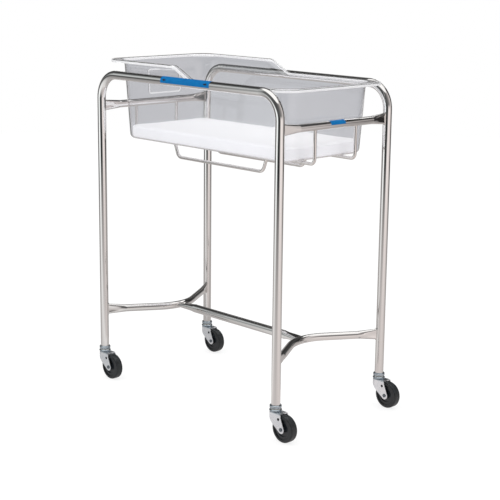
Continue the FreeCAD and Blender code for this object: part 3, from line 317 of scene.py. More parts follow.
# %% The lamps
# Each lamp has an azimuth, an elevation, a power in watts and a width.
LAMPS = {"key_lamp": (-30, 60, 14.0, 1.6), "fill_lamp": (100, 35, 5.0, 1.2)}
LAMP_DISTANCE = 2.6
STRIP_LONG, STRIP_WIDE, STRIP_POWER = 1.3, 0.30, 1.9
STRIP_PLACE, STRIP_AIM = Vector((-0.25, 1.6, 2.0)), Vector((-0.25, 0, 0.2))


def add_lamp(name, power, place, aim):
    """A square area lamp at a place, turned towards another, that shows through no plastic."""
    lamp = bpy.data.objects.new(name, bpy.data.lights.new(name, "AREA"))
    lamp.data.energy = power
    lamp.location = place
    lamp.rotation_mode = "QUATERNION"
    lamp.rotation_quaternion = (aim - place).to_track_quat("-Z", "Y")
    lamp.visible_transmission = False
    bpy.context.collection.objects.link(lamp)
    return lamp


for name, (azimuth, elevation, power, width) in LAMPS.items():
    towards = direction(math.radians(azimuth), math.radians(elevation))
    lamp = add_lamp(name, power, CAMERA_TARGET + towards * LAMP_DISTANCE, CAMERA_TARGET)
    lamp.data.size = width
    lamp.visible_glossy = False
strip = add_lamp("strip_lamp", STRIP_POWER, STRIP_PLACE, STRIP_AIM)
strip.data.shape = "RECTANGLE"
strip.data.size, strip.data.size_y = STRIP_LONG, STRIP_WIDE
print("lamps:", list(LAMPS), "and", strip.name)

# %% [markdown]
# ## Finishes
# Every finish starts from a Principled shader. Numbers that hold all over a surface are set on the shader's
# own sockets; only what really varies, such as smudges, grain and plating cloud, comes through nodes. A
# pattern's size is given in millimetres and turned into the noise scale by one division.

# %% A plain start for every finish
def per_metre(millimetres):
    """The texture scale that gives features of this size."""
    return 1 / (millimetres * MM)


def new_finish(name, **values):
    """A material with a Principled shader; also its tree, its shader and the object's own coordinates."""
    made = bpy.data.materials.new(name)
    made.use_nodes = True
    tree = made.node_tree
    tree.nodes.clear()
    shader = add(tree, "ShaderNodeBsdfPrincipled", {k.replace("_", " "): v for k, v in values.items()})
    add(tree, "ShaderNodeOutputMaterial", {"Surface": shader.outputs[0]})
    return made, tree, shader, add(tree, "ShaderNodeTexCoord").outputs["Object"]


print("scale for features of 8 mm:", round(per_metre(8)))

# %% [markdown]
# The stand is welded from drawn stainless tube, grade 304, buffed along its length until it is nearly a
# mirror. What keeps it from looking like glass is a faint haze where hands have been, which is in the
# roughness, and the grain left by the buffing wheel, which is in the bump. The real grain is too fine to
# show, so it is drawn at 1.5 mm, and very low, since a mirror shows the smallest dent.

# %% Polished stainless steel tube
stainless, tree, shader, place = new_finish(
    "polished_stainless_tube", Base_Color=linear("e2e0de"), Metallic=1.0)
haze = add(tree, "ShaderNodeTexNoise", {"Vector": place, "Scale": per_metre(45), "Detail": 5.0})
add(tree, "ShaderNodeMapRange", {"Value": haze.outputs["Fac"], "From Min": 0.35, "From Max": 0.70,
                                 "To Min": 0.04, "To Max": 0.10}, to=shader.inputs["Roughness"])
grain = add(tree, "ShaderNodeTexNoise", {"Vector": place, "Scale": per_metre(1.5), "Detail": 2.0})
add(tree, "ShaderNodeBump", {"Height": grain.outputs["Fac"], "Strength": 0.01, "Distance": 0.1 * MM},
    to=shader.inputs["Normal"])
print("finish:", stainless.name)

# %% [markdown]
# The cradle is made of cold-drawn round bar that was only brushed, so it shows soft highlights and no
# mirror image. Brushing leaves lines a tenth of a millimetre wide; they are drawn as a grain of 4 mm,
# because finer ones would not show.

# %% Satin steel bar
satin, tree, shader, place = new_finish("satin_steel_bar", Base_Color=linear("e0dcd9"), Metallic=1.0)
grain = add(tree, "ShaderNodeTexNoise", {"Vector": place, "Scale": per_metre(4), "Detail": 4.0})
add(tree, "ShaderNodeMapRange", {"Value": grain.outputs["Fac"], "To Min": 0.14, "To Max": 0.24},
    to=shader.inputs["Roughness"])
add(tree, "ShaderNodeBump", {"Height": grain.outputs["Fac"], "Strength": 0.12, "Distance": 0.1 * MM},
    to=shader.inputs["Normal"])
print("finish:", satin.name)

# %% [markdown]
# On most other surfaces here one cause, such as dust, dulled plating or the mould's texture, changes both
# the colour and the gloss. So they share one recipe: a single noise pattern that drives both, and on some
# the bump too.

# %% One recipe for a mottled surface
def mottled(name, size, detail, colours, rough, spots=(0.3, 0.7), gloss=(0.0, 1.0), bump=None, **values):
    """A finish whose colour and roughness follow a noise pattern of this size in millimetres.

    Spots and gloss are the parts of the noise over which they change. A bump is a strength and millimetres.
    """
    made, tree, shader, place = new_finish(name, **values)
    noise = add(tree, "ShaderNodeTexNoise", {"Vector": place, "Scale": per_metre(size), "Detail": detail})
    pattern = noise.outputs["Fac"]
    add(tree, "ShaderNodeValToRGB", {"Fac": pattern}, to=shader.inputs["Base Color"],
        stops=[(at, linear(code)) for at, code in zip(spots, colours)])
    add(tree, "ShaderNodeMapRange", {"Value": pattern, "From Min": gloss[0], "From Max": gloss[1],
                                     "To Min": rough[0], "To Max": rough[1]}, to=shader.inputs["Roughness"])
    if bump:
        add(tree, "ShaderNodeBump", {"Height": pattern, "Strength": bump[0], "Distance": bump[1] * MM},
            to=shader.inputs["Normal"])
    return made


print("recipe ready:", mottled.__name__)

# %% [markdown]
# Caster forks are stamped from sheet steel and zinc-plated with a clear passivation. That gives a cool,
# slightly blue metal with a cloudy gloss, because the plating settles on the rolled sheet's own grain.
# The collars and raceways of the swivel take a darker copy of the plating, which is painted shade on these
# rings.

# %% Zinc-plated stamped steel
zinc = mottled("bright_zinc_plate", 8, 4.0, ("e2e8ee", "f4f7fa"), (0.20, 0.34), gloss=(0.3, 0.7),
               Metallic=1.0)
# painted shade: the same plating, darker, for the swivel's rings
shade_painted_zinc = mottled("shaded_zinc_plate", 8, 4.0, ("96a0a8", "bcc6cd"), (0.20, 0.34), gloss=(0.3, 0.7),
                  Metallic=1.0)
print("finishes:", zinc.name, shade_painted_zinc.name)

# %% [markdown]
# The axles are steel rivets that are pressed over after plating. They are given a darker, duller steel than
# the fork: painted shade, for the dark ring round each rivet head.

# %% Upset rivet heads
# painted shade: the axles are darker than the fork they sit in
rivet = mottled("shade_darkened_rivet_steel", 2, 4.0, ("5e666c", "868e94"), (0.30, 0.50), Metallic=1.0)
print("finish:", rivet.name)

# %% [markdown]
# The wheels have a tread of vulcanised black rubber. It is nearly matt and never quite black, since floor
# dust stays in its pores.

# %% Black rubber tread
rubber = mottled("black_rubber_tread", 6, 6.0, ("14181b", "24292d"), (0.34, 0.50), spots=(0.35, 0.75),
                 bump=(0.25, 0.15), IOR=1.52)
print("finish:", rubber.name)

# %% [markdown]
# The hubs are moulded of black glass-filled nylon, a little smoother than the tread, with the orange-peel
# texture of the mould.

# %% Black moulded nylon
nylon = mottled("black_moulded_nylon", 1.2, 2.0, ("181c20", "22272c"), (0.26, 0.38), bump=(0.2, 0.1),
                IOR=1.53)
print("finish:", nylon.name)

# %% [markdown]
# The labels are vinyl film, printed a strong blue that has faded a little here and there. They carry no
# words, only dark arrows in a matt printing ink.

# %% Vinyl film and its ink
film = mottled("blue_vinyl_film", 14, 3.0, ("0065a4", "0070b0"), (0.30, 0.42), IOR=1.5,
               Specular_IOR_Level=0.1)
ink = mottled("dark_printing_ink", 3, 3.0, ("101c2c", "182a40"), (0.35, 0.5), IOR=1.5)
print("finishes:", film.name, ink.name)

# %% [markdown]
# The bearing washers in the casters are moulded acetal, a hard creamy plastic with faint flow marks. They
# are hidden, so the finish is plain.

# %% Moulded acetal
acetal = mottled("moulded_acetal", 2, 2.0, ("d6d2ca", "dfdcd4"), (0.35, 0.45), IOR=1.48)
print("finish:", acetal.name)

# %% [markdown]
# The tub is one sheet of clear copolyester, 3 mm thick, heated and drawn over a mould. Such a sheet is
# almost colourless, with a very slight grey, and the drawing leaves long soft ripples that bend what is
# seen through it. For lamps the plastic counts as a pale filter, so that the mattress inside stays bright,
# and steel doesn't mirror it, because its own highlights would show there as grains.

# %% Clear thermoformed sheet
clear, tree, shader, place = new_finish(
    "clear_copolyester_sheet", Base_Color=linear("fbfbfc"), IOR=1.49, Transmission_Weight=1.0)
ripple = add(tree, "ShaderNodeTexNoise", {"Vector": place, "Scale": per_metre(70), "Detail": 1.0})
add(tree, "ShaderNodeBump", {"Height": ripple.outputs["Fac"], "Strength": 0.25, "Distance": 2 * MM},
    to=shader.inputs["Normal"])
scuff = add(tree, "ShaderNodeTexNoise", {"Vector": place, "Scale": per_metre(25), "Detail": 6.0})
add(tree, "ShaderNodeMapRange", {"Value": scuff.outputs["Fac"], "From Min": 0.4, "From Max": 0.8,
                                 "To Min": 0.02, "To Max": 0.07}, to=shader.inputs["Roughness"])
window = add(tree, "ShaderNodeBsdfTransparent", {"Color": linear("fefeff")})
ray = add(tree, "ShaderNodeLightPath").outputs
passing = add(tree, "ShaderNodeMath", {0: ray["Is Shadow Ray"], 1: ray["Is Diffuse Ray"]},
              operation="MAXIMUM")
mirror = add(tree, "ShaderNodeMath", {0: ray["Is Glossy Ray"], 1: ray["Is Transmission Ray"]},
             operation="GREATER_THAN")
passing = add(tree, "ShaderNodeMath", {0: passing.outputs[0], 1: mirror.outputs[0]}, operation="MAXIMUM")
add(tree, "ShaderNodeMixShader", {"Fac": passing.outputs[0], 1: shader.outputs[0], 2: window.outputs[0]},
    to=tree.nodes["Material Output"].inputs["Surface"])
print("finish:", clear.name)

# %% [markdown]
# The sheet's edge is trimmed with a router after forming. The cutter leaves it frosted, so that it gathers
# the light and stands out as a white line round the lip. The same white finish is put on the top of the card
# frame's ridge as a painted highlight, which draws the frame as bright lines.

# %% Routed edge of the sheet
frosted_edge_and_highlight = mottled("routed_edge_and_ridge_highlight", 3, 3.0, ("f4f4f5", "ffffff"), (0.30, 0.50), IOR=1.49,
                  Transmission_Weight=0.35, Specular_IOR_Level=0.5)
print("finish:", frosted_edge_and_highlight.name)

# %% [markdown]
# The mattress is foam in a cover of polyurethane-coated knit, the kind that wipes clean. The coating hides
# most of the knit, which is left as a fine dimple, and gives the white a soft sheen. The real stitches are
# half a millimetre apart; they are drawn at 1.6 mm, because finer ones would not show.

# %% Coated mattress cover
cover, tree, shader, place = new_finish(
    "coated_white_knit", IOR=1.46, Sheen_Weight=0.15, Sheen_Roughness=0.4)
soil = add(tree, "ShaderNodeTexNoise", {"Vector": place, "Scale": per_metre(90), "Detail": 3.0})
add(tree, "ShaderNodeValToRGB", {"Fac": soil.outputs["Fac"]},
    stops=[(0.3, linear("f9f9fb")), (0.7, linear("fdfdff"))], to=shader.inputs["Base Color"])
knit = add(tree, "ShaderNodeTexVoronoi", {"Vector": place, "Scale": per_metre(1.6), "Randomness": 0.25})
add(tree, "ShaderNodeMapRange", {"Value": knit.outputs["Distance"], "To Min": 0.48, "To Max": 0.62},
    to=shader.inputs["Roughness"])
add(tree, "ShaderNodeBump", {"Height": knit.outputs["Distance"], "Strength": 0.12, "Distance": 0.2 * MM},
    to=shader.inputs["Normal"])
print("finish:", cover.name)

# %% [markdown]
# Every piece of the stand keeps the shape of its CAD node and gets its finish here, by the slot that the
# record names for it. Axles and the swivel's rings share a slot with the forks, so they go by the first word
# of their names; both get the darker finishes that hold painted shade.

# %% Give every node its finish
FINISHES = {"polished_steel_tube": stainless, "steel_rod": satin, "zinc_plated_steel": zinc,
            "clear_plastic": clear, "mattress_cover": cover, "label_film": film,
            "washer_plastic": acetal, "hub_plastic": nylon, "rubber_tread": rubber}
BY_FIRST_WORD = {"axle": rivet, "collar": shade_painted_zinc, "raceway": shade_painted_zinc}
for row in frame["record"]["subparts"]:
    first_word = row["node"].split("_")[0]
    finish = BY_FIRST_WORD.get(first_word, FINISHES[row["material_slot"]])
    frame["nodes"][row["node"]].material_slots[0].material = finish

# %% [markdown]
# ## The clear tub
# The tub starts as a flat sheet, so it is the same wall everywhere: a floor, walls that lean out by a few
# degrees so that it leaves the mould, and a lip that rolls over and ends in a short turned-down edge. At the
# head end the lip stands higher and steps down along a slope with two bends. Its place and outer sizes are
# those of the CAD tub.
#
# The mesh is built the way such a part is drawn. One profile runs from the middle of the underside, up the
# outside, over the lip and down the inside. It is swept round the tub's outline, and at each station it is
# stretched to the height of the lip there.

# %% Sizes of the tub
QUARTER = math.radians(90)
low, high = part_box("tub")
TUB_X, TUB_Z = round((low[0] + high[0]) / 2, 5), round(low[2], 5)   # middle of its underside, to 0.01 mm
LIP_HALF_LONG, LIP_HALF_WIDE, LIP_CORNER = (high[0] - low[0]) / 2, (high[1] - low[1]) / 2, 50 * MM
END_REACH, SIDE_REACH = 46 * MM, 40.5 * MM          # how far the lip goes out beyond the floor
FLOOR_HALF_LONG, FLOOR_HALF_WIDE = LIP_HALF_LONG - END_REACH, LIP_HALF_WIDE - SIDE_REACH
FLOOR_CORNER = 36 * MM
DRAFT = math.radians(4.2)
SHEET = 3 * MM
FLOOR_EDGE, COVE, LIP_ROUND, STEP_BEND = 14 * MM, 16 * MM, 2.5 * MM, 45 * MM      # radii
LIP_DEPTH = 9 * MM
HEAD_TOP = high[2] - low[2]
FOOT_TOP = HEAD_TOP - 35 * MM
STEP_SLOPE = math.radians(27.2)
STEP_HIGH_X, STEP_LOW_X = -82.9 * MM, 6.9 * MM      # where the slope begins and ends, from the middle


def lip_top(x):
    """Height of the lip above the underside, at this distance from the middle of the tub."""
    reach = STEP_BEND * math.sin(STEP_SLOPE)
    if x <= STEP_HIGH_X:
        return HEAD_TOP
    if x <= STEP_HIGH_X + reach:
        return HEAD_TOP - STEP_BEND + math.sqrt(STEP_BEND ** 2 - (x - STEP_HIGH_X) ** 2)
    if x >= STEP_LOW_X:
        return FOOT_TOP
    if x >= STEP_LOW_X - reach:
        return FOOT_TOP + STEP_BEND - math.sqrt(STEP_BEND ** 2 - (x - STEP_LOW_X) ** 2)
    start = lip_top(STEP_HIGH_X + reach)
    end = lip_top(STEP_LOW_X - reach)
    share = (x - STEP_HIGH_X - reach) / (STEP_LOW_X - STEP_HIGH_X - 2 * reach)
    return start + (end - start) * share


print("lip height:", [round(lip_top(x * MM) / MM, 1) for x in (-200, -60, -38, -10, 100)])

# %% [markdown]
# A frame for the name card is embossed in the head wall. It is a low ridge, so the mesh needs close
# stations and rows where it runs; elsewhere they are far apart.

# %% Embossed card frame
CARD_LEFT, CARD_RIGHT = -57 * MM, 65 * MM
CARD_LOW, CARD_HIGH = 126 * MM, 197 * MM
CARD_CORNER = 6 * MM
RIDGE_HEIGHT, RIDGE_WIDTH = 1.3 * MM, 1.6 * MM
FINE, BAND = 1.3 * MM, 6 * MM       # the close spacing, and how far it goes on each side of the ridge


def ridge(y, z):
    """How far the head wall stands out at this place, for the card frame."""
    half_y = (CARD_RIGHT - CARD_LEFT) / 2 - CARD_CORNER
    half_z = (CARD_HIGH - CARD_LOW) / 2 - CARD_CORNER
    out_y = abs(y - (CARD_LEFT + CARD_RIGHT) / 2) - half_y
    out_z = abs(z - (CARD_LOW + CARD_HIGH) / 2) - half_z
    line = math.hypot(max(out_y, 0), max(out_z, 0)) + min(max(out_y, out_z), 0) - CARD_CORNER
    return RIDGE_HEIGHT * math.exp(-(line / RIDGE_WIDTH) ** 2)


def spread(start, end, step, lines=(), band=BAND, fine=FINE):
    """Places from start to end, a step apart, but closer within a band on each side of the lines."""
    places, here = [], start
    while here < end - fine / 2:
        places.append(here)
        if any(abs(here - line) < band + fine / 2 for line in lines):
            here += fine
        else:
            here = min([here + step] + [line - band for line in lines if line - band > here])
    return places + [end]


print("card frame:", round((CARD_RIGHT - CARD_LEFT) / MM), "x", round((CARD_HIGH - CARD_LOW) / MM), "mm")

# %% Stations round the outline
SIDE_STEP, END_STEP = 14 * MM, 9 * MM               # between stations on the long sides and on the ends
SLOPE_MIDDLE = (STEP_HIGH_X + STEP_LOW_X) / 2
SLOPE_BAND, SLOPE_FINE = 60 * MM, 5 * MM            # closer stations on each side of the slope's middle
CORNER_STEPS = 12
STRETCH_FROM = 0.66     # the share of a side's half, from its middle, on which the lip isn't stretched


def stations():
    """For each station, a point and its outward normal on the floor's outline, and then on the lip's."""
    long_run, wide_run = FLOOR_HALF_LONG - FLOOR_CORNER, FLOOR_HALF_WIDE - FLOOR_CORNER
    lip_long, lip_wide = LIP_HALF_LONG - LIP_CORNER, LIP_HALF_WIDE - LIP_CORNER
    along = spread(-long_run, long_run, SIDE_STEP, lines=(SLOPE_MIDDLE,), band=SLOPE_BAND, fine=SLOPE_FINE)
    across = spread(-wide_run, wide_run, END_STEP, lines=(CARD_LEFT, CARD_RIGHT))

    def stretched(value, run, lip_run):
        """A place on a straight side, moved towards the corner in the last third of the run."""
        start = run * STRETCH_FROM
        over = max(0, abs(value) - start) / (run - start)
        return value + math.copysign(over * (lip_run - run), value)

    made = []
    for side in range(4):
        angle = QUARTER * (side - 1)
        normal = Vector((round(math.cos(angle)), round(math.sin(angle)), 0))
        forward = Vector((-normal.y, normal.x, 0))
        ends = side % 2
        places, run, lip_run = (across, wide_run, lip_wide) if ends else (along, long_run, lip_long)
        floor_out, lip_out = (FLOOR_HALF_LONG, LIP_HALF_LONG) if ends else (FLOOR_HALF_WIDE, LIP_HALF_WIDE)
        sign = forward.x + forward.y
        for value in sorted(places, reverse=sign < 0):
            at = Vector((abs(forward.x), abs(forward.y), 0))
            made.append((at * value + normal * floor_out, normal,
                         at * stretched(value, run, lip_run) + normal * lip_out, normal))
        corner = Vector((normal.x + forward.x, normal.y + forward.y, 0))
        for part in range(1, CORNER_STEPS):
            turn = angle + QUARTER * part / CORNER_STEPS
            out = Vector((math.cos(turn), math.sin(turn), 0))
            made.append((Vector((corner.x * long_run, corner.y * wide_run, 0)) + out * FLOOR_CORNER, out,
                         Vector((corner.x * lip_long, corner.y * lip_wide, 0)) + out * LIP_CORNER, out))
    return made


STATIONS = stations()
print("stations round the tub:", len(STATIONS))

# %% Rows of the profile
EDGE_STEPS, COVE_STEPS, ROUND_STEPS = 6, 8, 4       # on the floor's edge, the cove and the lip's round
ROW_STEP = 14 * MM


def wall_rows(outside):
    """The rounded edge of the floor, as (distance out, height) from its outline, and the rows above it.

    Each row comes as a share, 0 at the top of the edge and 1 at the foot of the cove.
    """
    radius = FLOOR_EDGE if outside else FLOOR_EDGE - SHEET
    middle = FLOOR_EDGE * (math.tan(DRAFT) - 1 / math.cos(DRAFT))
    turns = [(QUARTER - DRAFT) * i / EDGE_STEPS for i in range(EDGE_STEPS + 1)]
    edge = [(middle + radius * math.sin(part), FLOOR_EDGE - radius * math.cos(part)) for part in turns]
    bottom, top = edge[-1][1], HEAD_TOP - COVE - SHEET + COVE * math.sin(DRAFT)
    heights = spread(bottom, top, ROW_STEP, lines=(CARD_LOW, CARD_HIGH))
    return edge, [(height - bottom) / (top - bottom) for height in heights[1:-1]]


def skin(station, outside):
    """One station's points on the outer or the inner skin, from the floor's edge to the top of the cove."""
    base, normal = station[:2]
    radius = COVE if outside else COVE + SHEET
    cove_height = lip_top(base.x) - COVE - SHEET
    cove_out = cove_height * math.tan(DRAFT) + COVE / math.cos(DRAFT)
    edge, shares = wall_rows(outside)
    points = [base + normal * out + Vector((0, 0, height)) for out, height in edge]
    start = Vector((edge[-1][0], 0, edge[-1][1]))
    foot = Vector((cove_out - radius * math.cos(DRAFT), 0, cove_height + radius * math.sin(DRAFT)))
    for share in shares:
        at = start.lerp(foot, share)
        raised = ridge(base.y, at.z) if outside and normal.x == -1 else 0
        points.append(base + normal * (at.x + raised) + Vector((0, 0, at.z)))
    for i in range(COVE_STEPS + 1):
        turn = DRAFT + (QUARTER - DRAFT) * i / COVE_STEPS
        points.append(base + normal * (cove_out - radius * math.cos(turn))
                      + Vector((0, 0, cove_height + radius * math.sin(turn))))
    return points


print("rows of the outer skin:", len(skin(STATIONS[0], True)))

# %% The trimmed edge of the lip
INNER_BEVEL, TRIM_BEVEL = 1 * MM, 0.5 * MM      # under the lip's inner corner, and along the cut
TRIMMED_ROWS = 5        # how many steps of the edge, from its inside, the cutter made


def lip_edge(station):
    """One station's points round the lip, from its underside, round the cut and up to its top."""
    lip, normal = station[2:]

    def rim(inset, drop):
        """A point this far in from the lip's outline and below its top."""
        at = lip - normal * inset
        return Vector((at.x, at.y, lip_top(at.x) - drop))

    edge = [rim(SHEET + INNER_BEVEL, SHEET), rim(SHEET, SHEET + INNER_BEVEL),
            rim(SHEET, LIP_DEPTH - TRIM_BEVEL), rim(SHEET - TRIM_BEVEL, LIP_DEPTH),
            rim(TRIM_BEVEL, LIP_DEPTH), rim(0, LIP_DEPTH - TRIM_BEVEL)]
    for i in range(ROUND_STEPS + 1):
        turn = QUARTER * i / ROUND_STEPS
        edge.append(rim(LIP_ROUND * (1 - math.cos(turn)), LIP_ROUND * (1 - math.sin(turn))))
    return edge


def profile(station):
    """The points of one station, from the underside, up the outside, over the lip and down the inside."""
    return skin(station, True) + lip_edge(station) + skin(station, False)[::-1]


print("points in one profile:", len(profile(STATIONS[0])))

# %% Build the tub
def piece_from(name, points, faces, finish, body):
    """A mesh object with a finish, on its body and in its slot."""
    mesh = bpy.data.meshes.new(name)
    mesh.from_pydata(points, [], faces)
    mesh.materials.append(finish)
    mesh.shade_smooth()
    mesh.validate()
    made = bpy.data.objects.new(name, mesh)
    bpy.context.collection.objects.link(made)
    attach(made, body)
    return made


rings = [profile(station) for station in STATIONS]
rows, columns = len(rings[0]), len(rings)
points = [point + Vector((TUB_X, 0, TUB_Z)) for ring in rings for point in ring]
faces = []
for column in range(columns):
    following = (column + 1) % columns
    for row in range(rows - 1):
        faces.append((column * rows + row, following * rows + row,
                      following * rows + row + 1, column * rows + row + 1))
faces.append([column * rows for column in reversed(range(columns))])
faces.append([column * rows + rows - 1 for column in range(columns)])
tub = piece_from("clear_tub", points, faces, clear, "tub")
tub.data.materials.append(frosted_edge_and_highlight)
skin_rows = len(skin(STATIONS[0], True))
for polygon in tub.data.polygons[:columns * (rows - 1)]:
    middle = polygon.center - Vector((TUB_X, 0, TUB_Z))
    on_head_wall = middle.x < -FLOOR_HALF_LONG and abs(middle.y) < FLOOR_HALF_WIDE - FLOOR_CORNER
    # painted highlight: the top of the card frame's ridge takes the white edge finish
    painted_highlight_on_ridge = on_head_wall and ridge(middle.y, middle.z) > RIDGE_HEIGHT / 2
    trimmed = skin_rows <= polygon.index % (rows - 1) < skin_rows + TRIMMED_ROWS
    if painted_highlight_on_ridge or trimmed:
        polygon.material_index = 1
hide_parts("tub")
print("tub mesh:", len(points), "points,", len(faces), "faces")

# %% [markdown]
# ## The mattress
# A thin foam pad, as wide and long as the tub's floor. Foam under a tight cover is flat in the middle, has
# soft round edges and bulges a little between them. A cloth simulation gives exactly that: the pad's skin
# is blown up gently from the inside, while its underside stays on the floor of the tub.

# %% Shape of the pad before it is filled
PAD_HALF_LONG, PAD_HALF_WIDE, PAD_CORNER = 331 * MM, 153 * MM, 30 * MM
PAD_BOTTOM, PAD_TOP = TUB_Z + 3.6 * MM, TUB_Z + 37 * MM
PAD_EDGE_LOW, PAD_EDGE_HIGH = 9 * MM, 3 * MM
PAD_CORNER_STEPS, PAD_EDGE_STEPS = 12, 6


def pad_ring(inset, height):
    """One closed line round the pad, this far in from its widest outline."""
    ring = []
    corner = PAD_CORNER - inset
    for quarter, (sx, sy) in enumerate(((1, 1), (-1, 1), (-1, -1), (1, -1))):
        for part in range(PAD_CORNER_STEPS + 1):
            turn = QUARTER * (quarter + part / PAD_CORNER_STEPS)
            ring.append(Vector((TUB_X + sx * (PAD_HALF_LONG - PAD_CORNER) + corner * math.cos(turn),
                                sy * (PAD_HALF_WIDE - PAD_CORNER) + corner * math.sin(turn), height)))
    return ring


turns = [QUARTER * i / PAD_EDGE_STEPS for i in range(PAD_EDGE_STEPS + 1)]
rings = [pad_ring(PAD_EDGE_LOW * (1 - math.sin(turn)), PAD_BOTTOM + PAD_EDGE_LOW * (1 - math.cos(turn)))
         for turn in turns]
rings += [pad_ring(PAD_EDGE_HIGH * (1 - math.cos(turn)), PAD_TOP - PAD_EDGE_HIGH * (1 - math.sin(turn)))
          for turn in turns]
count = len(rings[0])
faces = [list(reversed(range(count))), [(len(rings) - 1) * count + i for i in range(count)]]
for row in range(len(rings) - 1):
    for i in range(count):
        after = (i + 1) % count
        here, above = row * count, (row + 1) * count
        faces.append((here + i, here + after, above + after, above + i))
points = [point for ring in rings for point in ring]
pad = piece_from("mattress_pad", points, faces, cover, "mattress")
print("pad before filling:", [round(v / MM) for v in pad.dimensions])

# %% [markdown]
# The skin is first cut into an even mesh, since cloth folds only along its edges. Then it is blown up. The
# tub's walls aren't part of the simulation, so the bulge is held to what they leave free.

# %% Fill it with a cloth simulation
MESH_SIZE = 5 * MM
PRESSURE, STIFFNESS, BENDING = 4, 30, 5
FILLING_FRAMES, CLOTH_QUALITY = 20, 6
RESTING_BAND = 4 * MM       # the lowest part of the skin, which stays where it lies
PAD_SPREAD = 1.5 * MM       # how far the cover may bulge
PAD_RISE, PAD_SINK = 2.5 * MM, 1 * MM       # how far it may rise and sink
PAD_GAP = 0.3 * MM          # between the pad and the floor of the tub


def apply_modifiers(piece):
    """Puts what the modifiers make into the mesh itself."""
    graph = bpy.context.evaluated_depsgraph_get()
    made = bpy.data.meshes.new_from_object(piece.evaluated_get(graph), depsgraph=graph)
    old, piece.data = piece.data, made
    piece.modifiers.clear()
    bpy.data.meshes.remove(old)


remesh = pad.modifiers.new("even_mesh", "REMESH")
remesh.mode = "VOXEL"
remesh.voxel_size = MESH_SIZE
apply_modifiers(pad)
before = [point.co.copy() for point in pad.data.vertices]
resting = pad.vertex_groups.new(name="resting")
resting.add([i for i, co in enumerate(before) if co.z < PAD_BOTTOM + RESTING_BAND], 1.0, "REPLACE")
cloth = pad.modifiers.new("filling", "CLOTH")
cloth.settings.use_pressure = True
cloth.settings.uniform_pressure_force = PRESSURE
cloth.settings.effector_weights.gravity = 0
cloth.settings.vertex_group_mass = resting.name
cloth.settings.quality = CLOTH_QUALITY
cloth.settings.tension_stiffness = STIFFNESS
cloth.settings.compression_stiffness = STIFFNESS
cloth.settings.bending_stiffness = BENDING
for number in range(1, FILLING_FRAMES + 1):
    bpy.context.scene.frame_set(number)
apply_modifiers(pad)
bpy.context.scene.frame_set(1)
pad.vertex_groups.clear()
for point, start in zip(pad.data.vertices, before):
    moved = point.co - start
    moved.x = max(-PAD_SPREAD, min(PAD_SPREAD, moved.x))
    moved.y = max(-PAD_SPREAD, min(PAD_SPREAD, moved.y))
    moved.z = max(-PAD_SINK, min(PAD_RISE, moved.z))
    point.co = start + moved
    point.co.z = max(point.co.z, TUB_Z + SHEET + PAD_GAP)
smooth = pad.modifiers.new("finer", "SUBSURF")
smooth.levels = 1
apply_modifiers(pad)
pad.data.materials.clear()
pad.data.materials.append(cover)
pad.data.shade_smooth()
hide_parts("mattress")
print("pad:", [round(v / MM, 1) for v in pad.dimensions], "mm,", len(pad.data.polygons), "faces")

# %% [markdown]
# ## Arrows on the rail's label
# The film on the front rail has a plain dark arrow near each end. Ink has almost no thickness, so each arrow
# is a small grid that is bent round the film and then thickened. Its 0.15 mm is more than real ink has, but
# thinner ink would sink into the flat faces of the film's round.

# %% Two printed arrows
LEG_RADIUS = 12.7 * MM
front_low, front_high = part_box("front_side_frame")
RAIL_Y, RAIL_Z = (front_low[1] + front_high[1]) / 2, front_high[2] - LEG_RADIUS
ARROW_LONG, ARROW_HALF, SHAFT_HALF, HEAD_LONG = 15 * MM, 4.2 * MM, 1.9 * MM, 8 * MM
TIP_HALF, SHOULDER = 0.2 * MM, 0.05 * MM        # half the blunt tip, and the run of the step to the shaft
ARROW_INSET, ARROW_RISE = 8 * MM, math.radians(18)
HEAD_STEPS, HALF_STEPS = 4, 3
INK, INK_LIFT = 0.15 * MM, 0.1 * MM

low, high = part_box("rail_label")
film_radius = RAIL_Y - low[1]
outline = [(0, TIP_HALF)] + [(HEAD_LONG * i / HEAD_STEPS, ARROW_HALF * i / HEAD_STEPS)
                             for i in range(1, HEAD_STEPS + 1)]
outline += [(HEAD_LONG + SHOULDER, SHAFT_HALF), (ARROW_LONG, SHAFT_HALF)]
columns = 2 * HALF_STEPS + 1
for name, end, sign in (("arrow_head_end", low[0], 1), ("arrow_foot_end", high[0], -1)):
    points = []
    for along, half in outline:
        for j in range(-HALF_STEPS, HALF_STEPS + 1):
            turn = ARROW_RISE + half * j / HALF_STEPS / film_radius
            radius = film_radius + INK_LIFT
            points.append((end + sign * (ARROW_INSET + along), RAIL_Y - radius * math.cos(turn),
                           RAIL_Z + radius * math.sin(turn)))
    corners = [(i * columns + j, (i + 1) * columns + j) for i in range(len(outline) - 1)
               for j in range(columns - 1)]
    faces = [(here, ahead, ahead + 1, here + 1)[::sign] for here, ahead in corners]
    arrow = piece_from(name, points, faces, ink, "stand")
    thick = arrow.modifiers.new("ink", "SOLIDIFY")
    thick.thickness = INK
    apply_modifiers(arrow)
print("film radius:", round(film_radius / MM, 2), "mm")

# %% [markdown]
# ## Weld beads
# Each tube end is pressed, cut to the round of its neighbour and welded all round. The weld leaves a thin
# bead with small ripples, one for each dip of the filler wire. A bead is a closed line drawn round the joint
# on the surface of the larger tube, with a round section swept along it.

# %% The line of a bead
BEAD_RADIUS = 1.2 * MM
BEAD_SIDES = 8
RIPPLE, RIPPLE_SHARE = 2.4 * MM, 0.14       # its length, and how much of the radius it adds and takes
STEPS_IN_RIPPLE = 4
FEWEST_STEPS = 24


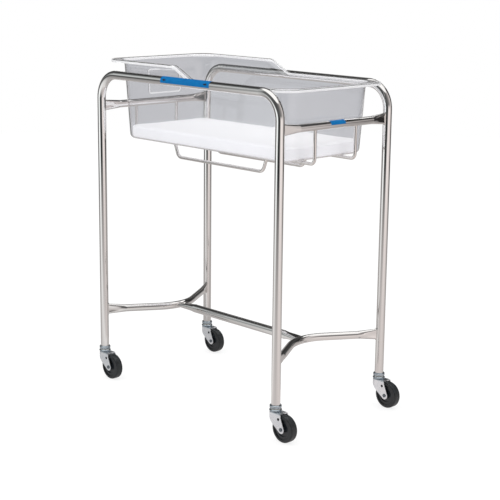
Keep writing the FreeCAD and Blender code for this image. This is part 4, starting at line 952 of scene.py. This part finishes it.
def joint_line(half_up, half_across):
    """Points of a slot with round ends, a quarter of a ripple apart, as (up, across)."""
    radius = min(half_up, half_across)
    long_half = max(half_up, half_across) - radius
    length = 4 * long_half + 2 * math.pi * radius
    count = max(FEWEST_STEPS, round(STEPS_IN_RIPPLE * length / RIPPLE))
    line = []
    for i in range(count):
        at = length * i / count
        if at < 2 * long_half:
            place = (-long_half + at, radius)
        elif at < 2 * long_half + math.pi * radius:
            turn = (at - 2 * long_half) / radius
            place = (long_half + radius * math.sin(turn), radius * math.cos(turn))
        elif at < 4 * long_half + math.pi * radius:
            place = (long_half - (at - 2 * long_half - math.pi * radius), -radius)
        else:
            turn = (at - 4 * long_half - math.pi * radius) / radius
            place = (-long_half - radius * math.sin(turn), -radius * math.cos(turn))
        line.append(place if half_up >= half_across else place[::-1])
    return line


print("points round a joint of 10 mm:", len(joint_line(5 * MM, 5 * MM)))

# %% One bead
def add_bead(points, faces, centre, up, facing, tube_radius, halves, bend=0.0):
    """Adds the points and faces of a bead on a tube.

    The tube has a centre, an axis, a side that the bead is on and a radius, and its axis may have a bend.
    The halves are those of the joint along and across the axis.
    """
    side = up.cross(facing)
    line = []
    for along, across in joint_line(halves[0] + BEAD_RADIUS / 2, halves[1] + BEAD_RADIUS / 2):
        turn = across / tube_radius
        out = facing * math.cos(turn) + side * math.sin(turn)
        sag = facing * (-along ** 2 / (2 * bend)) if bend else Vector()
        line.append((centre + up * along + out * tube_radius + sag, out))
    count, first = len(line), len(points)
    for i, (place, out) in enumerate(line):
        ahead = (line[(i + 1) % count][0] - line[i - 1][0]).normalized()
        across = ahead.cross(out).normalized()
        thick = BEAD_RADIUS * (1 + RIPPLE_SHARE * math.cos(2 * math.pi * i / STEPS_IN_RIPPLE))
        for j in range(BEAD_SIDES):
            turn = 2 * math.pi * j / BEAD_SIDES
            points.append(place + out * (thick * math.cos(turn)) + across * (thick * math.sin(turn)))
    for i in range(count):
        here, after = first + i * BEAD_SIDES, first + (i + 1) % count * BEAD_SIDES
        for j in range(BEAD_SIDES):
            k = (j + 1) % BEAD_SIDES
            faces.append((here + j, here + k, after + k, after + j))


print("a bead is", round(2 * BEAD_RADIUS / MM, 1), "mm thick")

# %% Beads round the joints
crossbar, bow_box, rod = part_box("head_crossbar"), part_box("head_bow"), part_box("back_cradle_rod")
LEG_X = {"head": front_low[0] + LEG_RADIUS, "foot": front_high[0] - LEG_RADIUS}
LEG_Y = {"front": RAIL_Y, "back": -RAIL_Y}
MIDDLE_X = sum(LEG_X.values()) / 2
BAR_RADIUS, ROD_RADIUS = 11.1 * MM, 4.75 * MM
CROSSBAR_Z, BOW_Z = (crossbar[0][2] + crossbar[1][2]) / 2, (bow_box[0][2] + bow_box[1][2]) / 2
ROD_Y = (rod[0][1] + rod[1][1]) / 2
BOW_ANGLE = math.radians(31.8)
BOW_BEND = 130 * MM
PRESSED = (17 * MM, 3 * MM)             # half height and half thickness of a pressed tube end
SPREAD_END = (18.5 * MM, 3.5 * MM)      # half width and half thickness of the stretcher's, pressed level
STRETCHER_REACH = 265.9 * MM            # from the middle to the bows' axes
UP, LEVEL = Vector((0, 0, 1)), Vector((0, 1, 0))

points, faces = [], []
for end, x in LEG_X.items():
    inward = 1 if end == "head" else -1
    for side, y in LEG_Y.items():
        across = 1 if side == "front" else -1
        add_bead(points, faces, Vector((x, y, CROSSBAR_Z)), UP, Vector((0, across, 0)), LEG_RADIUS, PRESSED)
        bow = Vector((inward * math.sin(BOW_ANGLE), across * math.cos(BOW_ANGLE), 0))
        add_bead(points, faces, Vector((x, y, BOW_Z)), UP, bow, LEG_RADIUS, PRESSED)
        add_bead(points, faces, Vector((x, -across * ROD_Y, CROSSBAR_Z)), LEVEL, -UP, BAR_RADIUS,
                 (ROD_RADIUS, ROD_RADIUS))
    add_bead(points, faces, Vector((MIDDLE_X - inward * STRETCHER_REACH, 0, BOW_Z)), LEVEL,
             Vector((inward, 0, 0)), BAR_RADIUS, SPREAD_END, bend=BOW_BEND)
piece_from("weld_beads", points, faces, stainless, "stand")
print("weld beads:", len(points), "points")
